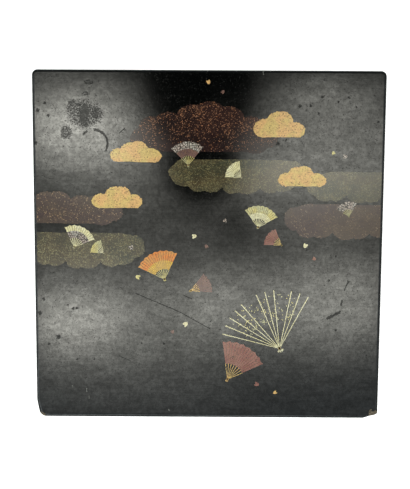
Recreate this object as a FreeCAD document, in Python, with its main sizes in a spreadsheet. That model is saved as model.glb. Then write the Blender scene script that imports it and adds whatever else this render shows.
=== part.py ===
import FreeCAD, Part
import math
import os

import Sketcher

# Lacquered writing box (suzuribako) with an overhanging lid, a loose insert
# board, an inkstone, a water dropper and two trays that hold the brushes, an
# ink stick, a paper knife and an awl.
#
# Frame: millimetres, +Z up, origin at the middle of the box's underside, +X
# to the right of the person writing and +Y away from them.

# ------------------------------------------------------------------ sizes
# Each driving size is one cell of the sheet. Cells come in groups by piece.
SIZES = [
    # the lid: a flat board with four mitred sides below it
    ("lid_width", 240.0),
    ("lid_depth", 240.0),
    ("lid_board", 4.0),
    ("lid_wall", 4.0),
    ("lid_skirt", 28.0),
    ("lid_corner", 4.0),
    ("lid_edge", 1.2),
    ("lid_gap", 0.5),
    # the box body that the lid drops over
    ("body_wall", 4.5),
    ("headroom", 4.0),
    ("body_corner", 3.0),
    ("floor_board", 4.0),
    ("foot_height", 2.0),
    ("foot_width", 6.0),
    ("foot_inset", 1.0),
    ("foot_corner", 2.0),
    # the insert board that keeps the inkstone and the dropper in place
    ("board_thickness", 9.0),
    ("board_gap", 0.5),
    ("cutout_gap", 0.5),
    # the two trays
    ("tray_width", 54.0),
    ("tray_height", 23.0),
    ("tray_wall", 3.0),
    ("tray_floor", 2.5),
    ("tray_gap", 0.75),
    ("tray_rim", 0.7),
    ("notch_radius", 14.0),
    ("notch_depth", 6.0),
    # the inkstone: a flat rubbing land that slopes down into a well
    ("stone_width", 74.0),
    ("stone_depth", 128.0),
    ("stone_height", 17.0),
    ("stone_margin", 11.0),
    ("stone_rim", 5.0),
    ("stone_corner", 4.0),
    ("stone_edge", 1.0),
    ("land_depth", 2.0),
    ("land_length", 68.0),
    ("well_depth", 8.0),
    ("well_length", 18.0),
    ("well_corner", 3.0),
    # the round metal water dropper
    ("dropper_radius", 23.0),
    ("dropper_height", 16.0),
    ("dropper_wall", 1.2),
    ("dropper_shoulder", 4.0),
    ("air_hole", 1.2),
    ("spout_inset", 2.4),
    ("spout_height", 3.0),
    ("spout_foot", 2.6),
    ("spout_tip", 2.1),
    ("spout_bore", 1.3),
    # the rests and the divider in the trays, and the space before a brush or tool
    ("rest_low", 0.7),
    ("rest_thick", 5.0),
    ("rest_gap", 0.3),
    ("divider_thick", 1.5),
    ("divider_height", 5.0),
    ("divider_left", 2.0),
    ("front_space", 3.25),
    # the brushes, which lie along Y in the left tray
    ("brush_radius", 3.75),
    ("brush_length", 128.0),
    ("brush_rest_in", 20.0),
    ("bead_radius", 4.25),
    ("bead_length", 3.0),
    ("spigot_radius", 3.3),
    ("spigot_length", 4.0),
    ("ferrule_radius", 4.6),
    ("ferrule_length", 9.0),
    ("hair_radius", 3.9),
    ("hair_belly", 6.0),
    ("hair_length", 26.0),
    ("cap_gap", 0.15),
    ("cap_wall", 0.8),
    ("cap_cover", 4.0),
    ("cap_clear", 1.0),
    ("cap_end", 2.0),
    ("cap_lift", 1.0),
    # the knife and the awl, which lie along Y in the right tray
    ("tool_radius", 4.75),
    ("handle_length", 92.0),
    ("tool_rest_in", 16.0),
    ("pommel_lift", 2.0),
    ("pommel_radius", 5.0),
    ("pommel_length", 4.0),
    ("collar_radius", 4.2),
    ("collar_length", 5.0),
    ("tang_length", 19.0),
    ("tang_radius", 1.9),
    ("tang_gap", 0.1),
    ("blade_length", 58.0),
    ("blade_width", 9.0),
    ("blade_thick", 1.4),
    ("blade_tip", 12.0),
    ("spike_length", 50.0),
    ("spike_foot", 2.6),
    ("spike_point", 0.25),
    # the ink stick, which lies flat beside the divider
    ("ink_width", 15.0),
    ("ink_length", 62.0),
    ("ink_height", 8.0),
    ("ink_edge", 1.0),
    ("ink_space", 67.0),
    ("ink_panel_depth", 0.6),
    ("ink_panel_margin", 2.5),
]

doc = FreeCAD.newDocument("writing_box")
sheet = doc.addObject("Spreadsheet::Sheet", "Sizes")
for row, (alias, number) in enumerate(SIZES, start=1):
    sheet.set(f"A{row}", alias)
    sheet.set(f"B{row}", str(number))
    sheet.setAlias(f"B{row}", alias)
doc.recompute()

# ------------------------------------------------ places worked out from them
# Each is an expression on the sheet, in brackets so that it can be reused.
BODY_WIDTH = "(Sizes.lid_width - 2 * Sizes.lid_wall - 2 * Sizes.lid_gap)"
BODY_DEPTH = "(Sizes.lid_depth - 2 * Sizes.lid_wall - 2 * Sizes.lid_gap)"
ROOM_WIDTH = f"({BODY_WIDTH} - 2 * Sizes.body_wall)"
ROOM_DEPTH = f"({BODY_DEPTH} - 2 * Sizes.body_wall)"
FLOOR_TOP = "(Sizes.foot_height + Sizes.floor_board)"
BOARD_TOP = f"({FLOOR_TOP} + Sizes.board_thickness)"
BODY_TOP = f"({BOARD_TOP} + Sizes.tray_height + Sizes.headroom)"
STONE_Y = f"(Sizes.stone_margin + Sizes.stone_depth / 2 - {ROOM_DEPTH} / 2)"
# The dropper stands in the middle of the room that the stone leaves behind it.
DROPPER_Y = f"(({STONE_Y} + Sizes.stone_depth / 2 + {ROOM_DEPTH} / 2) / 2)"
TRAY_FLOOR_TOP = f"({BOARD_TOP} + Sizes.tray_floor)"
TRAY_LENGTH = f"({ROOM_DEPTH} - 2 * Sizes.tray_gap)"
TRAY_SIDE = f"({ROOM_WIDTH} / 2 - Sizes.tray_gap - Sizes.tray_width / 2)"
TRAY_INSIDE = "(Sizes.tray_width - 2 * Sizes.tray_wall)"
TRAY_WALL_HEIGHT = "(Sizes.tray_height - Sizes.tray_floor)"
TRAY_FRONT = f"(Sizes.tray_wall - {TRAY_LENGTH} / 2)"
# Heights of the brushes' and the tools' axes over their tray's floor, and how
# far each lies to the side of its tray's middle.
BRUSH_LIFT = "(Sizes.ferrule_radius + Sizes.cap_gap + Sizes.cap_wall + Sizes.cap_lift)"
TOOL_LIFT = "(Sizes.pommel_radius + Sizes.pommel_lift)"
BRUSH_SIDE = f"({TRAY_INSIDE} / 4)"
TOOL_ROOM = f"({TRAY_INSIDE} / 2 + Sizes.divider_left)"
AWL_SIDE = f"({TOOL_ROOM} / 4 - Sizes.divider_left)"
KNIFE_SIDE = f"(3 * {TOOL_ROOM} / 4 - Sizes.divider_left)"
BRUSH_Z = f"({TRAY_FLOOR_TOP} + {BRUSH_LIFT})"
TOOL_Z = f"({TRAY_FLOOR_TOP} + {TOOL_LIFT})"
# Where the shafts and the handles start and end along Y.
BRUSH_START = f"({TRAY_FRONT} + Sizes.front_space + Sizes.bead_length)"
BRUSH_END = f"({BRUSH_START} + Sizes.brush_length)"
HANDLE_START = f"({TRAY_FRONT} + Sizes.front_space + Sizes.pommel_length)"
HANDLE_END = f"({HANDLE_START} + Sizes.handle_length)"

FULL_TURN = 360
NODES = []


# ---------------------------------------------------------------- helpers
def value(expression):
    """The number that an expression on the sheet has now."""
    number = sheet.evalExpression(str(expression))
    return float(getattr(number, "Value", number))


def new_body(name):
    """An empty body that becomes one sub-part."""
    body = doc.addObject("PartDesign::Body", name)
    body.Label = name
    NODES.append(body)
    return body


def place(body, x="0", y="0", z="0", turn=0):
    """Turn a body about Z, in degrees, and tie its place to the sheet."""
    axis = FreeCAD.Vector(0, 0, 1)
    body.Placement = FreeCAD.Placement(FreeCAD.Vector(), FreeCAD.Rotation(axis, turn))
    for letter, expression in (("x", x), ("y", y), ("z", z)):
        body.setExpression(f"Placement.Base.{letter}", str(expression))
    return body


def new_sketch(body, name, role):
    sketch = body.newObject("Sketcher::SketchObject", f"{body.Name}_{name}")
    plane = [item for item in body.Origin.OriginFeatures if item.Role == role][0]
    sketch.AttachmentSupport = (plane, [""])
    sketch.MapMode = "FlatFace"
    return sketch


def dimension(sketch, kind, geometry, point, name, expression):
    """Tie one coordinate of a point to the sheet."""
    constraint = Sketcher.Constraint(kind, -1, 1, geometry, point, value(expression))
    index = sketch.addConstraint(constraint)
    sketch.renameConstraint(index, name)
    sketch.setExpression(f"Constraints.{name}", str(expression))


def outline(body, name, role, points, arcs=None):
    """A closed sketch through points, each a pair of expressions.

    arcs gives, for the stretch that starts at a point, the centre of its arc.
    """
    arcs = arcs or {}
    sketch = new_sketch(body, name, role)
    spots = [(value(across), value(up)) for across, up in points]
    count = len(spots)
    ends = []
    for index, (x, y) in enumerate(spots):
        next_x, next_y = spots[(index + 1) % count]
        if index not in arcs:
            start = FreeCAD.Vector(x, y, 0)
            stop = FreeCAD.Vector(next_x, next_y, 0)
            sketch.addGeometry(Part.LineSegment(start, stop), False)
            ends.append((1, 2))
            continue
        centre_x, centre_y = [value(part) for part in arcs[index]]
        first = math.atan2(y - centre_y, x - centre_x)
        last = math.atan2(next_y - centre_y, next_x - centre_x)
        turns_left = (last - first) % math.tau < math.pi
        centre = FreeCAD.Vector(centre_x, centre_y, 0)
        radius = math.hypot(x - centre_x, y - centre_y)
        circle = Part.Circle(centre, FreeCAD.Vector(0, 0, 1), radius)
        low, high = (first, last) if turns_left else (last, first)
        sketch.addGeometry(Part.ArcOfCircle(circle, low, high), False)
        ends.append((1, 2) if turns_left else (2, 1))
    for index in range(count):
        after = (index + 1) % count
        joint = Sketcher.Constraint("Coincident", index, ends[index][1], after, ends[after][0])
        sketch.addConstraint(joint)
    for index, (across, up) in enumerate(points):
        start = ends[index][0]
        dimension(sketch, "DistanceX", index, start, f"x_{index}", across)
        dimension(sketch, "DistanceY", index, start, f"y_{index}", up)
    for index, (across, _) in arcs.items():
        dimension(sketch, "DistanceX", index, 3, f"centre_{index}", across)
    return sketch


def rectangle(body, name, width, depth, role="XY_Plane", x="0", y="0"):
    """A rectangle of a given width and depth, centred on x, y."""
    sides = [(-1, -1), (1, -1), (1, 1), (-1, 1)]
    corners = [(f"({x}) + {i} * ({width}) / 2", f"({y}) + {j} * ({depth}) / 2") for i, j in sides]
    return outline(body, name, role, corners)


def circle_sketch(body, name, role, radius, x="0", y="0"):
    sketch = new_sketch(body, name, role)
    centre = FreeCAD.Vector(value(x), value(y), 0)
    sketch.addGeometry(Part.Circle(centre, FreeCAD.Vector(0, 0, 1), value(radius)), False)
    dimension(sketch, "DistanceX", 0, 3, "centre_x", x)
    dimension(sketch, "DistanceY", 0, 3, "centre_y", y)
    index = sketch.addConstraint(Sketcher.Constraint("Radius", 0, value(radius)))
    sketch.renameConstraint(index, "radius")
    sketch.setExpression("Constraints.radius", str(radius))
    return sketch


def pad(body, sketch, length, both_ways=False):
    feature = body.newObject("PartDesign::Pad", f"{sketch.Name}_pad")
    feature.Profile = sketch
    feature.setExpression("Length", str(length))
    feature.SideType = "Symmetric" if both_ways else "One side"
    doc.recompute()
    return feature


def cut(body, sketch, length=None, upwards=False):
    """Cut a sketch out of a body, both ways, or through all where length is None."""
    before = body.Shape.Volume
    feature = body.newObject("PartDesign::Pocket", f"{sketch.Name}_cut")
    feature.Profile = sketch
    if length is None:
        feature.Type = "ThroughAll"
        feature.Reversed = upwards
        feature.SideType = "One side"
    else:
        feature.SideType = "Symmetric"
        feature.setExpression("Length", str(length))
    doc.recompute()
    if feature.Shape.Volume > before - 0.01:
        raise RuntimeError(f"{feature.Name} cuts nothing")
    return feature


def turn_solid(body, name, role, points, arcs=None):
    """Turn a half outline, given as radius and height, about the sketch's upright axis."""
    sketch = outline(body, name, role, points, arcs)
    feature = body.newObject("PartDesign::Revolution", f"{sketch.Name}_turn")
    feature.Profile = sketch
    feature.ReferenceAxis = (sketch, ["V_Axis"])
    feature.Angle = FULL_TURN
    doc.recompute()
    return feature


def edges_where(shape, wanted):
    """Names of the edges for which wanted(first point, last point) holds."""
    names = []
    for index, edge in enumerate(shape.Edges, start=1):
        if len(edge.Vertexes) < 2:
            continue
        first, last = edge.Vertexes[0].Point, edge.Vertexes[-1].Point
        if wanted(first, last):
            names.append(f"Edge{index}")
    return names


def same(a, b):
    return abs(a - b) < 1e-4


def round_edges(body, name, radius, wanted):
    base = body.Tip
    feature = body.newObject("PartDesign::Fillet", f"{body.Name}_{name}")
    feature.Base = (base, edges_where(base.Shape, wanted))
    feature.setExpression("Radius", str(radius))
    doc.recompute()
    return feature


def upright(first, last):
    return same(first.x, last.x) and same(first.y, last.y)


def at_height(level):
    """True for an edge that lies at one height in the body's own frame."""
    return lambda first, last: same(first.z, level) and same(last.z, level)


# ------------------------------------------------------- lid, body and feet
def mitred_frame(prefix, width, depth, wall, corner, height, bottom):
    """Four boards, mitred where they meet, with their outer corners rounded."""
    bite = f"({corner}) * (1 - sqrt(0.5))"
    for turns, side in enumerate(("front", "right", "rear", "left")):
        length, reach = (width, depth) if turns % 2 == 0 else (depth, width)
        half, out = f"({length}) / 2", f"({reach}) / 2"
        body = new_body(f"{prefix}_{side}")
        points = [
            (f"{corner} - {half}", f"-({out})"),
            (f"{half} - {corner}", f"-({out})"),
            (f"{half} - {bite}", f"{bite} - {out}"),
            (f"{half} - {wall}", f"{wall} - {out}"),
            (f"{wall} - {half}", f"{wall} - {out}"),
            (f"{bite} - {half}", f"{bite} - {out}"),
        ]
        right_centre = (f"{half} - {corner}", f"{corner} - {out}")
        left_centre = (f"{corner} - {half}", f"{corner} - {out}")
        sketch = outline(body, "plan", "XY_Plane", points, {1: right_centre, 5: left_centre})
        pad(body, sketch, height)
        place(body, z=bottom, turn=90 * turns)


def lid():
    body = new_body("lid_board")
    pad(body, rectangle(body, "plan", "Sizes.lid_width", "Sizes.lid_depth"), "Sizes.lid_board")
    round_edges(body, "corners", "Sizes.lid_corner", upright)
    round_edges(body, "rim", "Sizes.lid_edge", at_height(value("Sizes.lid_board")))
    place(body, z=BODY_TOP)
    mitred_frame("lid_side", "Sizes.lid_width", "Sizes.lid_depth", "Sizes.lid_wall",
                 "Sizes.lid_corner", "Sizes.lid_skirt", f"{BODY_TOP} - Sizes.lid_skirt")


def box_body():
    mitred_frame("box_side", BODY_WIDTH, BODY_DEPTH, "Sizes.body_wall",
                 "Sizes.body_corner", f"{BODY_TOP} - Sizes.foot_height", "Sizes.foot_height")
    floor = new_body("box_floor")
    pad(floor, rectangle(floor, "plan", ROOM_WIDTH, ROOM_DEPTH), "Sizes.floor_board")
    place(floor, z="Sizes.foot_height")
    mitred_frame("foot", f"({BODY_WIDTH} - 2 * Sizes.foot_inset)",
                 f"({BODY_DEPTH} - 2 * Sizes.foot_inset)", "Sizes.foot_width",
                 "Sizes.foot_corner", "Sizes.foot_height", "0")


def insert_board():
    body = new_body("insert_board")
    width = f"({ROOM_WIDTH} - 2 * Sizes.board_gap)"
    depth = f"({ROOM_DEPTH} - 2 * Sizes.board_gap)"
    pad(body, rectangle(body, "plan", width, depth), "Sizes.board_thickness")
    stone = rectangle(body, "stone_hole", "Sizes.stone_width + 2 * Sizes.cutout_gap",
                      "Sizes.stone_depth + 2 * Sizes.cutout_gap", y=STONE_Y)
    cut(body, stone, upwards=True)
    dropper = circle_sketch(body, "dropper_hole", "XY_Plane",
                            "Sizes.dropper_radius + Sizes.cutout_gap", y=DROPPER_Y)
    cut(body, dropper, upwards=True)
    place(body, z=FLOOR_TOP)


# ---------------------------------------------------- inkstone and dropper
def inkstone():
    """A slate block with a flat land near the writer and a well at the back."""
    body = new_body("inkstone")
    pad(body, rectangle(body, "plan", "Sizes.stone_width", "Sizes.stone_depth"),
        "Sizes.stone_height")
    round_edges(body, "corners", "Sizes.stone_corner", upright)
    top = "Sizes.stone_height"
    front = "(Sizes.stone_rim - Sizes.stone_depth / 2)"
    back = "(Sizes.stone_depth / 2 - Sizes.stone_rim)"
    points = [
        (front, f"{top} - Sizes.land_depth"),
        (f"{front} + Sizes.land_length", f"{top} - Sizes.land_depth"),
        (f"{back} - Sizes.well_length", f"{top} - Sizes.well_depth"),
        (back, f"{top} - Sizes.well_depth"),
        (back, top),
        (front, top),
    ]
    hollow = outline(body, "hollow", "YZ_Plane", points)
    cut(body, hollow, "Sizes.stone_width - 2 * Sizes.stone_rim")
    inside = value("Sizes.stone_width / 2 - Sizes.stone_rim")

    def well_corner(first, last):
        return upright(first, last) and same(abs(first.x), inside)

    round_edges(body, "well_corners", "Sizes.well_corner", well_corner)
    round_edges(body, "rim", "Sizes.stone_edge", at_height(value(top)))
    place(body, y=STONE_Y, z=FLOOR_TOP)


def water_dropper():
    """A thin metal drum: an air hole in the middle of its top, a spout near the rim."""
    radius, height = "Sizes.dropper_radius", "Sizes.dropper_height"
    wall, shoulder = "Sizes.dropper_wall", "Sizes.dropper_shoulder"
    shell = new_body("dropper_shell")
    centre = (f"{radius} - {shoulder}", f"{height} - {shoulder}")
    points = [
        (radius, "0"),
        (radius, centre[1]),
        (centre[0], height),
        ("Sizes.air_hole", height),
        ("Sizes.air_hole", f"{height} - {wall}"),
        (centre[0], f"{height} - {wall}"),
        (f"{radius} - {wall}", centre[1]),
        (f"{radius} - {wall}", "0"),
    ]
    turn_solid(shell, "wall", "XZ_Plane", points, {1: centre, 5: centre})
    spout_out = f"({centre[0]} - Sizes.spout_foot - Sizes.spout_inset)"
    spout_hole = circle_sketch(shell, "spout_hole", "XY_Plane", "Sizes.spout_bore",
                               y=f"-{spout_out}")
    cut(shell, spout_hole, upwards=True)
    place(shell, y=DROPPER_Y, z=FLOOR_TOP)

    base = new_body("dropper_base")
    disc = circle_sketch(base, "plan", "XY_Plane", f"{radius} - {wall}")
    pad(base, disc, wall)
    place(base, y=DROPPER_Y, z=FLOOR_TOP)

    spout = new_body("dropper_spout")
    points = [
        ("Sizes.spout_foot", "0"),
        ("Sizes.spout_tip", "Sizes.spout_height"),
        ("Sizes.spout_bore", "Sizes.spout_height"),
        ("Sizes.spout_bore", "0"),
    ]
    turn_solid(spout, "wall", "XZ_Plane", points)
    place(spout, y=f"{DROPPER_Y} - {spout_out}", z=f"{FLOOR_TOP} + {height}")


# -------------------------------------------------------------------- trays
def tray_wall(name, width, depth, notched=False):
    """One upright board of a tray, its top edges eased."""
    body = new_body(name)
    pad(body, rectangle(body, "plan", width, depth), TRAY_WALL_HEIGHT)
    if notched:
        rise = "(Sizes.notch_radius - Sizes.notch_depth)"
        grip = circle_sketch(body, "grip", "YZ_Plane", "Sizes.notch_radius",
                             y=f"{TRAY_WALL_HEIGHT} + {rise}")
        cut(body, grip, f"4 * {width}")
    long_way_y = value(depth) > value(width)
    top = value(TRAY_WALL_HEIGHT)

    def long_top_edge(first, last):
        across = same(first.x, last.x) if long_way_y else same(first.y, last.y)
        return across and same(first.z, top) and same(last.z, top)

    round_edges(body, "rim", "Sizes.tray_rim", long_top_edge)
    return body


def tray(side_name, side):
    """A shallow tray; side is -1 for the left one and 1 for the right one."""
    middle = f"{side} * {TRAY_SIDE}"
    floor = new_body(f"{side_name}_tray_floor")
    pad(floor, rectangle(floor, "plan", "Sizes.tray_width", TRAY_LENGTH), "Sizes.tray_floor")
    place(floor, x=middle, z=BOARD_TOP)
    wall_out = "(Sizes.tray_width - Sizes.tray_wall) / 2"
    for where, sign in (("outer", side), ("inner", -side)):
        name = f"{side_name}_tray_{where}_side"
        board = tray_wall(name, "Sizes.tray_wall", TRAY_LENGTH, notched=where == "inner")
        place(board, x=f"{middle} + {sign} * {wall_out}", z=TRAY_FLOOR_TOP)
    end_out = f"({TRAY_LENGTH} - Sizes.tray_wall) / 2"
    for where, sign in (("front", -1), ("rear", 1)):
        board = tray_wall(f"{side_name}_tray_{where}_end", TRAY_INSIDE, "Sizes.tray_wall")
        place(board, x=middle, y=f"{sign} * {end_out}", z=TRAY_FLOOR_TOP)


def rest(name, middle, left, right, y, lift, radius, sides):
    """A low bar across a tray with a round notch for each thing laid on it.

    lift is the height of the things' axes over the tray's floor.
    """
    body = new_body(name)
    top = f"{lift} - Sizes.rest_low"
    points = [(left, "0"), (right, "0"), (right, top), (left, top)]
    pad(body, outline(body, "front", "XZ_Plane", points), "Sizes.rest_thick", both_ways=True)
    for index, side in enumerate(sides, start=1):
        notch = circle_sketch(body, f"notch_{index}", "XZ_Plane",
                              f"{radius} + Sizes.rest_gap", x=side, y=lift)
        cut(body, notch, "4 * Sizes.rest_thick")
    place(body, x=middle, y=y, z=TRAY_FLOOR_TOP)


def rests():
    half = f"({TRAY_INSIDE} / 2)"
    inset = "Sizes.brush_rest_in"
    for where, y in (("front", f"{BRUSH_START} + {inset}"), ("rear", f"{BRUSH_END} - {inset}")):
        rest(f"brush_rest_{where}", f"-{TRAY_SIDE}", f"-{half}", half, y, BRUSH_LIFT,
             "Sizes.brush_radius", (f"-{BRUSH_SIDE}", BRUSH_SIDE))
    inset = "Sizes.tool_rest_in"
    for where, y in (("front", f"{HANDLE_START} + {inset}"), ("rear", f"{HANDLE_END} - {inset}")):
        rest(f"tool_rest_{where}", TRAY_SIDE, "-Sizes.divider_left", half, y, TOOL_LIFT,
             "Sizes.tool_radius", (AWL_SIDE, KNIFE_SIDE))
    divider = new_body("tray_divider")
    inside = f"{TRAY_LENGTH} - 2 * Sizes.tray_wall"
    plan = rectangle(divider, "plan", "Sizes.divider_thick", inside)
    pad(divider, plan, "Sizes.divider_height")
    place(divider, x=f"{TRAY_SIDE} - Sizes.divider_left - Sizes.divider_thick / 2",
          z=TRAY_FLOOR_TOP)


# ------------------------------------------------------------------ brushes
def turned_along_y(name, x, z, points, arcs=None):
    """A turned piece whose axis lies along Y; points are radius and distance."""
    body = new_body(name)
    turn_solid(body, "half", "XY_Plane", points, arcs)
    place(body, x=x, z=z)
    return body


def brush(number, side):
    x = f"{side} * {BRUSH_SIDE} - {TRAY_SIDE}"
    butt, end = BRUSH_START, BRUSH_END
    ferrule_end = f"({end} + Sizes.ferrule_length)"
    spigot_end = f"({end} + Sizes.spigot_length)"
    tip = f"({ferrule_end} + Sizes.hair_length)"
    radius, inner = "Sizes.brush_radius", "Sizes.spigot_radius"
    prefix = f"brush_{number}"

    turned_along_y(f"{prefix}_shaft", x, BRUSH_Z, [
        ("0", butt), (radius, butt), (radius, end), (inner, end), (inner, spigot_end),
        ("0", spigot_end)])
    rounding = "Sizes.bead_length / 2"
    bead, bead_end = "Sizes.bead_radius", f"{butt} - Sizes.bead_length"
    middle = (f"{bead} - {rounding}", f"{butt} - {rounding}")
    turned_along_y(f"{prefix}_bead", x, BRUSH_Z, [
        ("0", bead_end), (middle[0], bead_end), (bead, middle[1]), (middle[0], butt),
        ("0", butt)], {1: middle, 2: middle})
    outer = "Sizes.ferrule_radius"
    turned_along_y(f"{prefix}_ferrule", x, BRUSH_Z, [
        (inner, end), (outer, end), (outer, ferrule_end), (inner, ferrule_end)])

    # The tuft swells a little past the ferrule and closes to a point. Each pair
    # is a share of the belly's radius at a share of the taper's length.
    belly = f"({ferrule_end} + Sizes.hair_belly)"
    taper = "(Sizes.hair_length - Sizes.hair_belly)"
    closing = [(1, 0), (0.9, 0.3), (0.7, 0.58), (0.38, 0.84), (0, 1)]
    flank = [(f"{wide} * Sizes.hair_radius", f"{belly} + {along} * {taper}")
             for wide, along in closing]
    turned_along_y(f"{prefix}_hair", x, BRUSH_Z, [
        ("0", spigot_end), (inner, spigot_end), (inner, ferrule_end), *flank])

    mouth = f"({end} - Sizes.cap_cover)"
    bore = f"({outer} + Sizes.cap_gap)"
    skin = f"({bore} + Sizes.cap_wall)"
    bore_end = f"({tip} + Sizes.cap_clear)"
    cap_end = f"({bore_end} + Sizes.cap_end)"
    ease = "Sizes.cap_end"
    turned_along_y(f"{prefix}_cap", x, BRUSH_Z, [
        (bore, mouth), (skin, mouth), (skin, f"{cap_end} - {ease}"), (f"{skin} - {ease}", cap_end),
        ("0", cap_end), ("0", bore_end), (bore, bore_end)],
        {2: (f"{skin} - {ease}", f"{cap_end} - {ease}")})


# ------------------------------------------------------------ knife and awl
def tool_handle(prefix, side):
    """A turned handle with its pommel and the metal collar at its mouth."""
    x = f"{TRAY_SIDE} + {side}"
    back, mouth = HANDLE_START, HANDLE_END
    radius = "Sizes.tool_radius"
    bore = "(Sizes.tang_radius + Sizes.tang_gap)"
    collar_end = f"({mouth} + Sizes.collar_length)"
    bore_end = f"({collar_end} - Sizes.tang_length - Sizes.tang_gap)"
    turned_along_y(f"{prefix}_handle", x, TOOL_Z, [
        ("0", back), (radius, back), (radius, mouth), (bore, mouth), (bore, bore_end),
        ("0", bore_end)])
    rounding = "Sizes.pommel_length / 2"
    knob, knob_end = "Sizes.pommel_radius", f"{back} - Sizes.pommel_length"
    middle = (f"{knob} - {rounding}", f"{back} - {rounding}")
    turned_along_y(f"{prefix}_pommel", x, TOOL_Z, [
        ("0", knob_end), (middle[0], knob_end), (knob, middle[1]), (middle[0], back),
        ("0", back)], {1: middle, 2: middle})
    turned_along_y(f"{prefix}_collar", x, TOOL_Z, [
        (bore, mouth), (radius, mouth), ("Sizes.collar_radius", collar_end), (bore, collar_end)])
    return x, collar_end


def awl():
    x, start = tool_handle("awl", AWL_SIDE)
    tang_end = f"{start} - Sizes.tang_length"
    point = f"{start} + Sizes.spike_length"
    turned_along_y("awl_spike", x, TOOL_Z, [
        ("0", tang_end), ("Sizes.tang_radius", tang_end), ("Sizes.tang_radius", start),
        ("Sizes.spike_foot", start), ("Sizes.spike_point", point), ("0", point)])


def knife():
    """A flat single-edged blade with a slanted tip and a narrow tang."""
    x, start = tool_handle("knife", KNIFE_SIDE)
    blade = new_body("knife_blade")
    half = "Sizes.blade_width / 2"
    tang = "(Sizes.tang_radius * sqrt(3) / 2)"
    tang_end = f"{start} - Sizes.tang_length"
    heel_end = f"{start} + Sizes.blade_length - Sizes.blade_tip"
    points = [
        (f"-{tang}", tang_end), (tang, tang_end), (tang, start), (half, start),
        (half, heel_end), (f"-{half}", f"{start} + Sizes.blade_length"), (f"-{half}", start),
        (f"-{tang}", start),
    ]
    pad(blade, outline(blade, "plan", "XY_Plane", points), "Sizes.blade_thick", both_ways=True)
    place(blade, x=x, z=TOOL_Z)


def ink_stick():
    body = new_body("ink_stick")
    pad(body, rectangle(body, "plan", "Sizes.ink_width", "Sizes.ink_length"), "Sizes.ink_height")
    round_edges(body, "edges", "Sizes.ink_edge", lambda first, last: True)
    margin = "2 * Sizes.ink_panel_margin"
    panel = rectangle(body, "panel", f"Sizes.ink_width - {margin}", f"Sizes.ink_length - {margin}")
    panel.AttachmentOffset = FreeCAD.Placement(
        FreeCAD.Vector(0, 0, value("Sizes.ink_height - Sizes.ink_panel_depth")),
        FreeCAD.Rotation())
    panel.setExpression("AttachmentOffset.Base.z", "Sizes.ink_height - Sizes.ink_panel_depth")
    cut(body, panel, upwards=True)
    divider = "(Sizes.divider_left + Sizes.divider_thick)"
    place(body, x=f"{TRAY_SIDE} - ({TRAY_INSIDE} / 2 + {divider}) / 2",
          y=f"{TRAY_FRONT} + Sizes.ink_space + Sizes.ink_length / 2", z=TRAY_FLOOR_TOP)


# --------------------------------------------------------- build and export
def build():
    lid()
    box_body()
    insert_board()
    inkstone()
    water_dropper()
    tray("left", -1)
    tray("right", 1)
    rests()
    brush(1, -1)
    brush(2, 1)
    awl()
    knife()
    ink_stick()
    doc.recompute()


def check():
    """Stop before anything is written if an object or a shape has failed."""
    for item in doc.Objects:
        if {"Invalid", "Error"} & set(item.State):
            raise RuntimeError(f"{item.Name} failed: {item.State}")
    for body in NODES:
        if body.Shape.isNull() or not body.Shape.isValid() or len(body.Shape.Solids) != 1:
            raise RuntimeError(f"{body.Label} is not one valid solid")


def export():
    os.makedirs("parts", exist_ok=True)
    for body in NODES:
        body.Shape.exportStep(os.path.join("parts", f"{body.Label}.step"))
    print(f"{len(NODES)} sub-parts written")


build()
check()
export()
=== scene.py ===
# %% [markdown]
# # A lacquered writing box
#
# The box is a traditional writing set: a flat overhanging lid, a shallow body, a loose board that
# keeps an inkstone and a water dropper in place, and two trays of brushes and tools. The packed
# model already holds every piece at its real size, so it is loaded first and nothing in it is ever
# moved. The cells below give each piece its finish and replace the plain pieces whose shape
# deserves more.

# %% Load the frame
import math

import bmesh
import bpy
from mathutils import Matrix, Vector, noise


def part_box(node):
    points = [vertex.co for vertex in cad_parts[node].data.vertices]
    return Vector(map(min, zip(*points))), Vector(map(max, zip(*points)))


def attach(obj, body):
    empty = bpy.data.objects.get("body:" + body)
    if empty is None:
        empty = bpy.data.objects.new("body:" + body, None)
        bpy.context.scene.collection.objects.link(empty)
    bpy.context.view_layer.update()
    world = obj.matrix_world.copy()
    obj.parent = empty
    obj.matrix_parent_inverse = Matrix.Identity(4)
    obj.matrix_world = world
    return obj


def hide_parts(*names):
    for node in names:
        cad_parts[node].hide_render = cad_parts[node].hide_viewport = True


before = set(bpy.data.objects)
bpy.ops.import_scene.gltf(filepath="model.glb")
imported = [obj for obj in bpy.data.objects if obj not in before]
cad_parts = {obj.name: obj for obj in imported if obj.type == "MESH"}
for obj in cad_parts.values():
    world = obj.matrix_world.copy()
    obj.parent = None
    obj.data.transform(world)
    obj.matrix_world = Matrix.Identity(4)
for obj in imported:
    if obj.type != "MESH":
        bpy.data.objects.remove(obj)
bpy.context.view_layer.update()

# %% [markdown]
# ## Small tools for shapes
#
# Lengths are easier to read in millimetres, so a shape is made in millimetres and scaled once,
# when its mesh is finished. Every new piece goes through one function, which gives it a material
# and the body that it moves with. The other helpers each wrap one bmesh operator, or a short chain
# of them, that several pieces need: a block, a turned form, an outline traced by straight runs and
# arcs, and a softened copy of a CAD piece.

# %% Finish a piece
MM = 0.001
SIDES = ("front", "right", "rear", "left")
SMOOTH_UNDER = math.radians(35)


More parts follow.
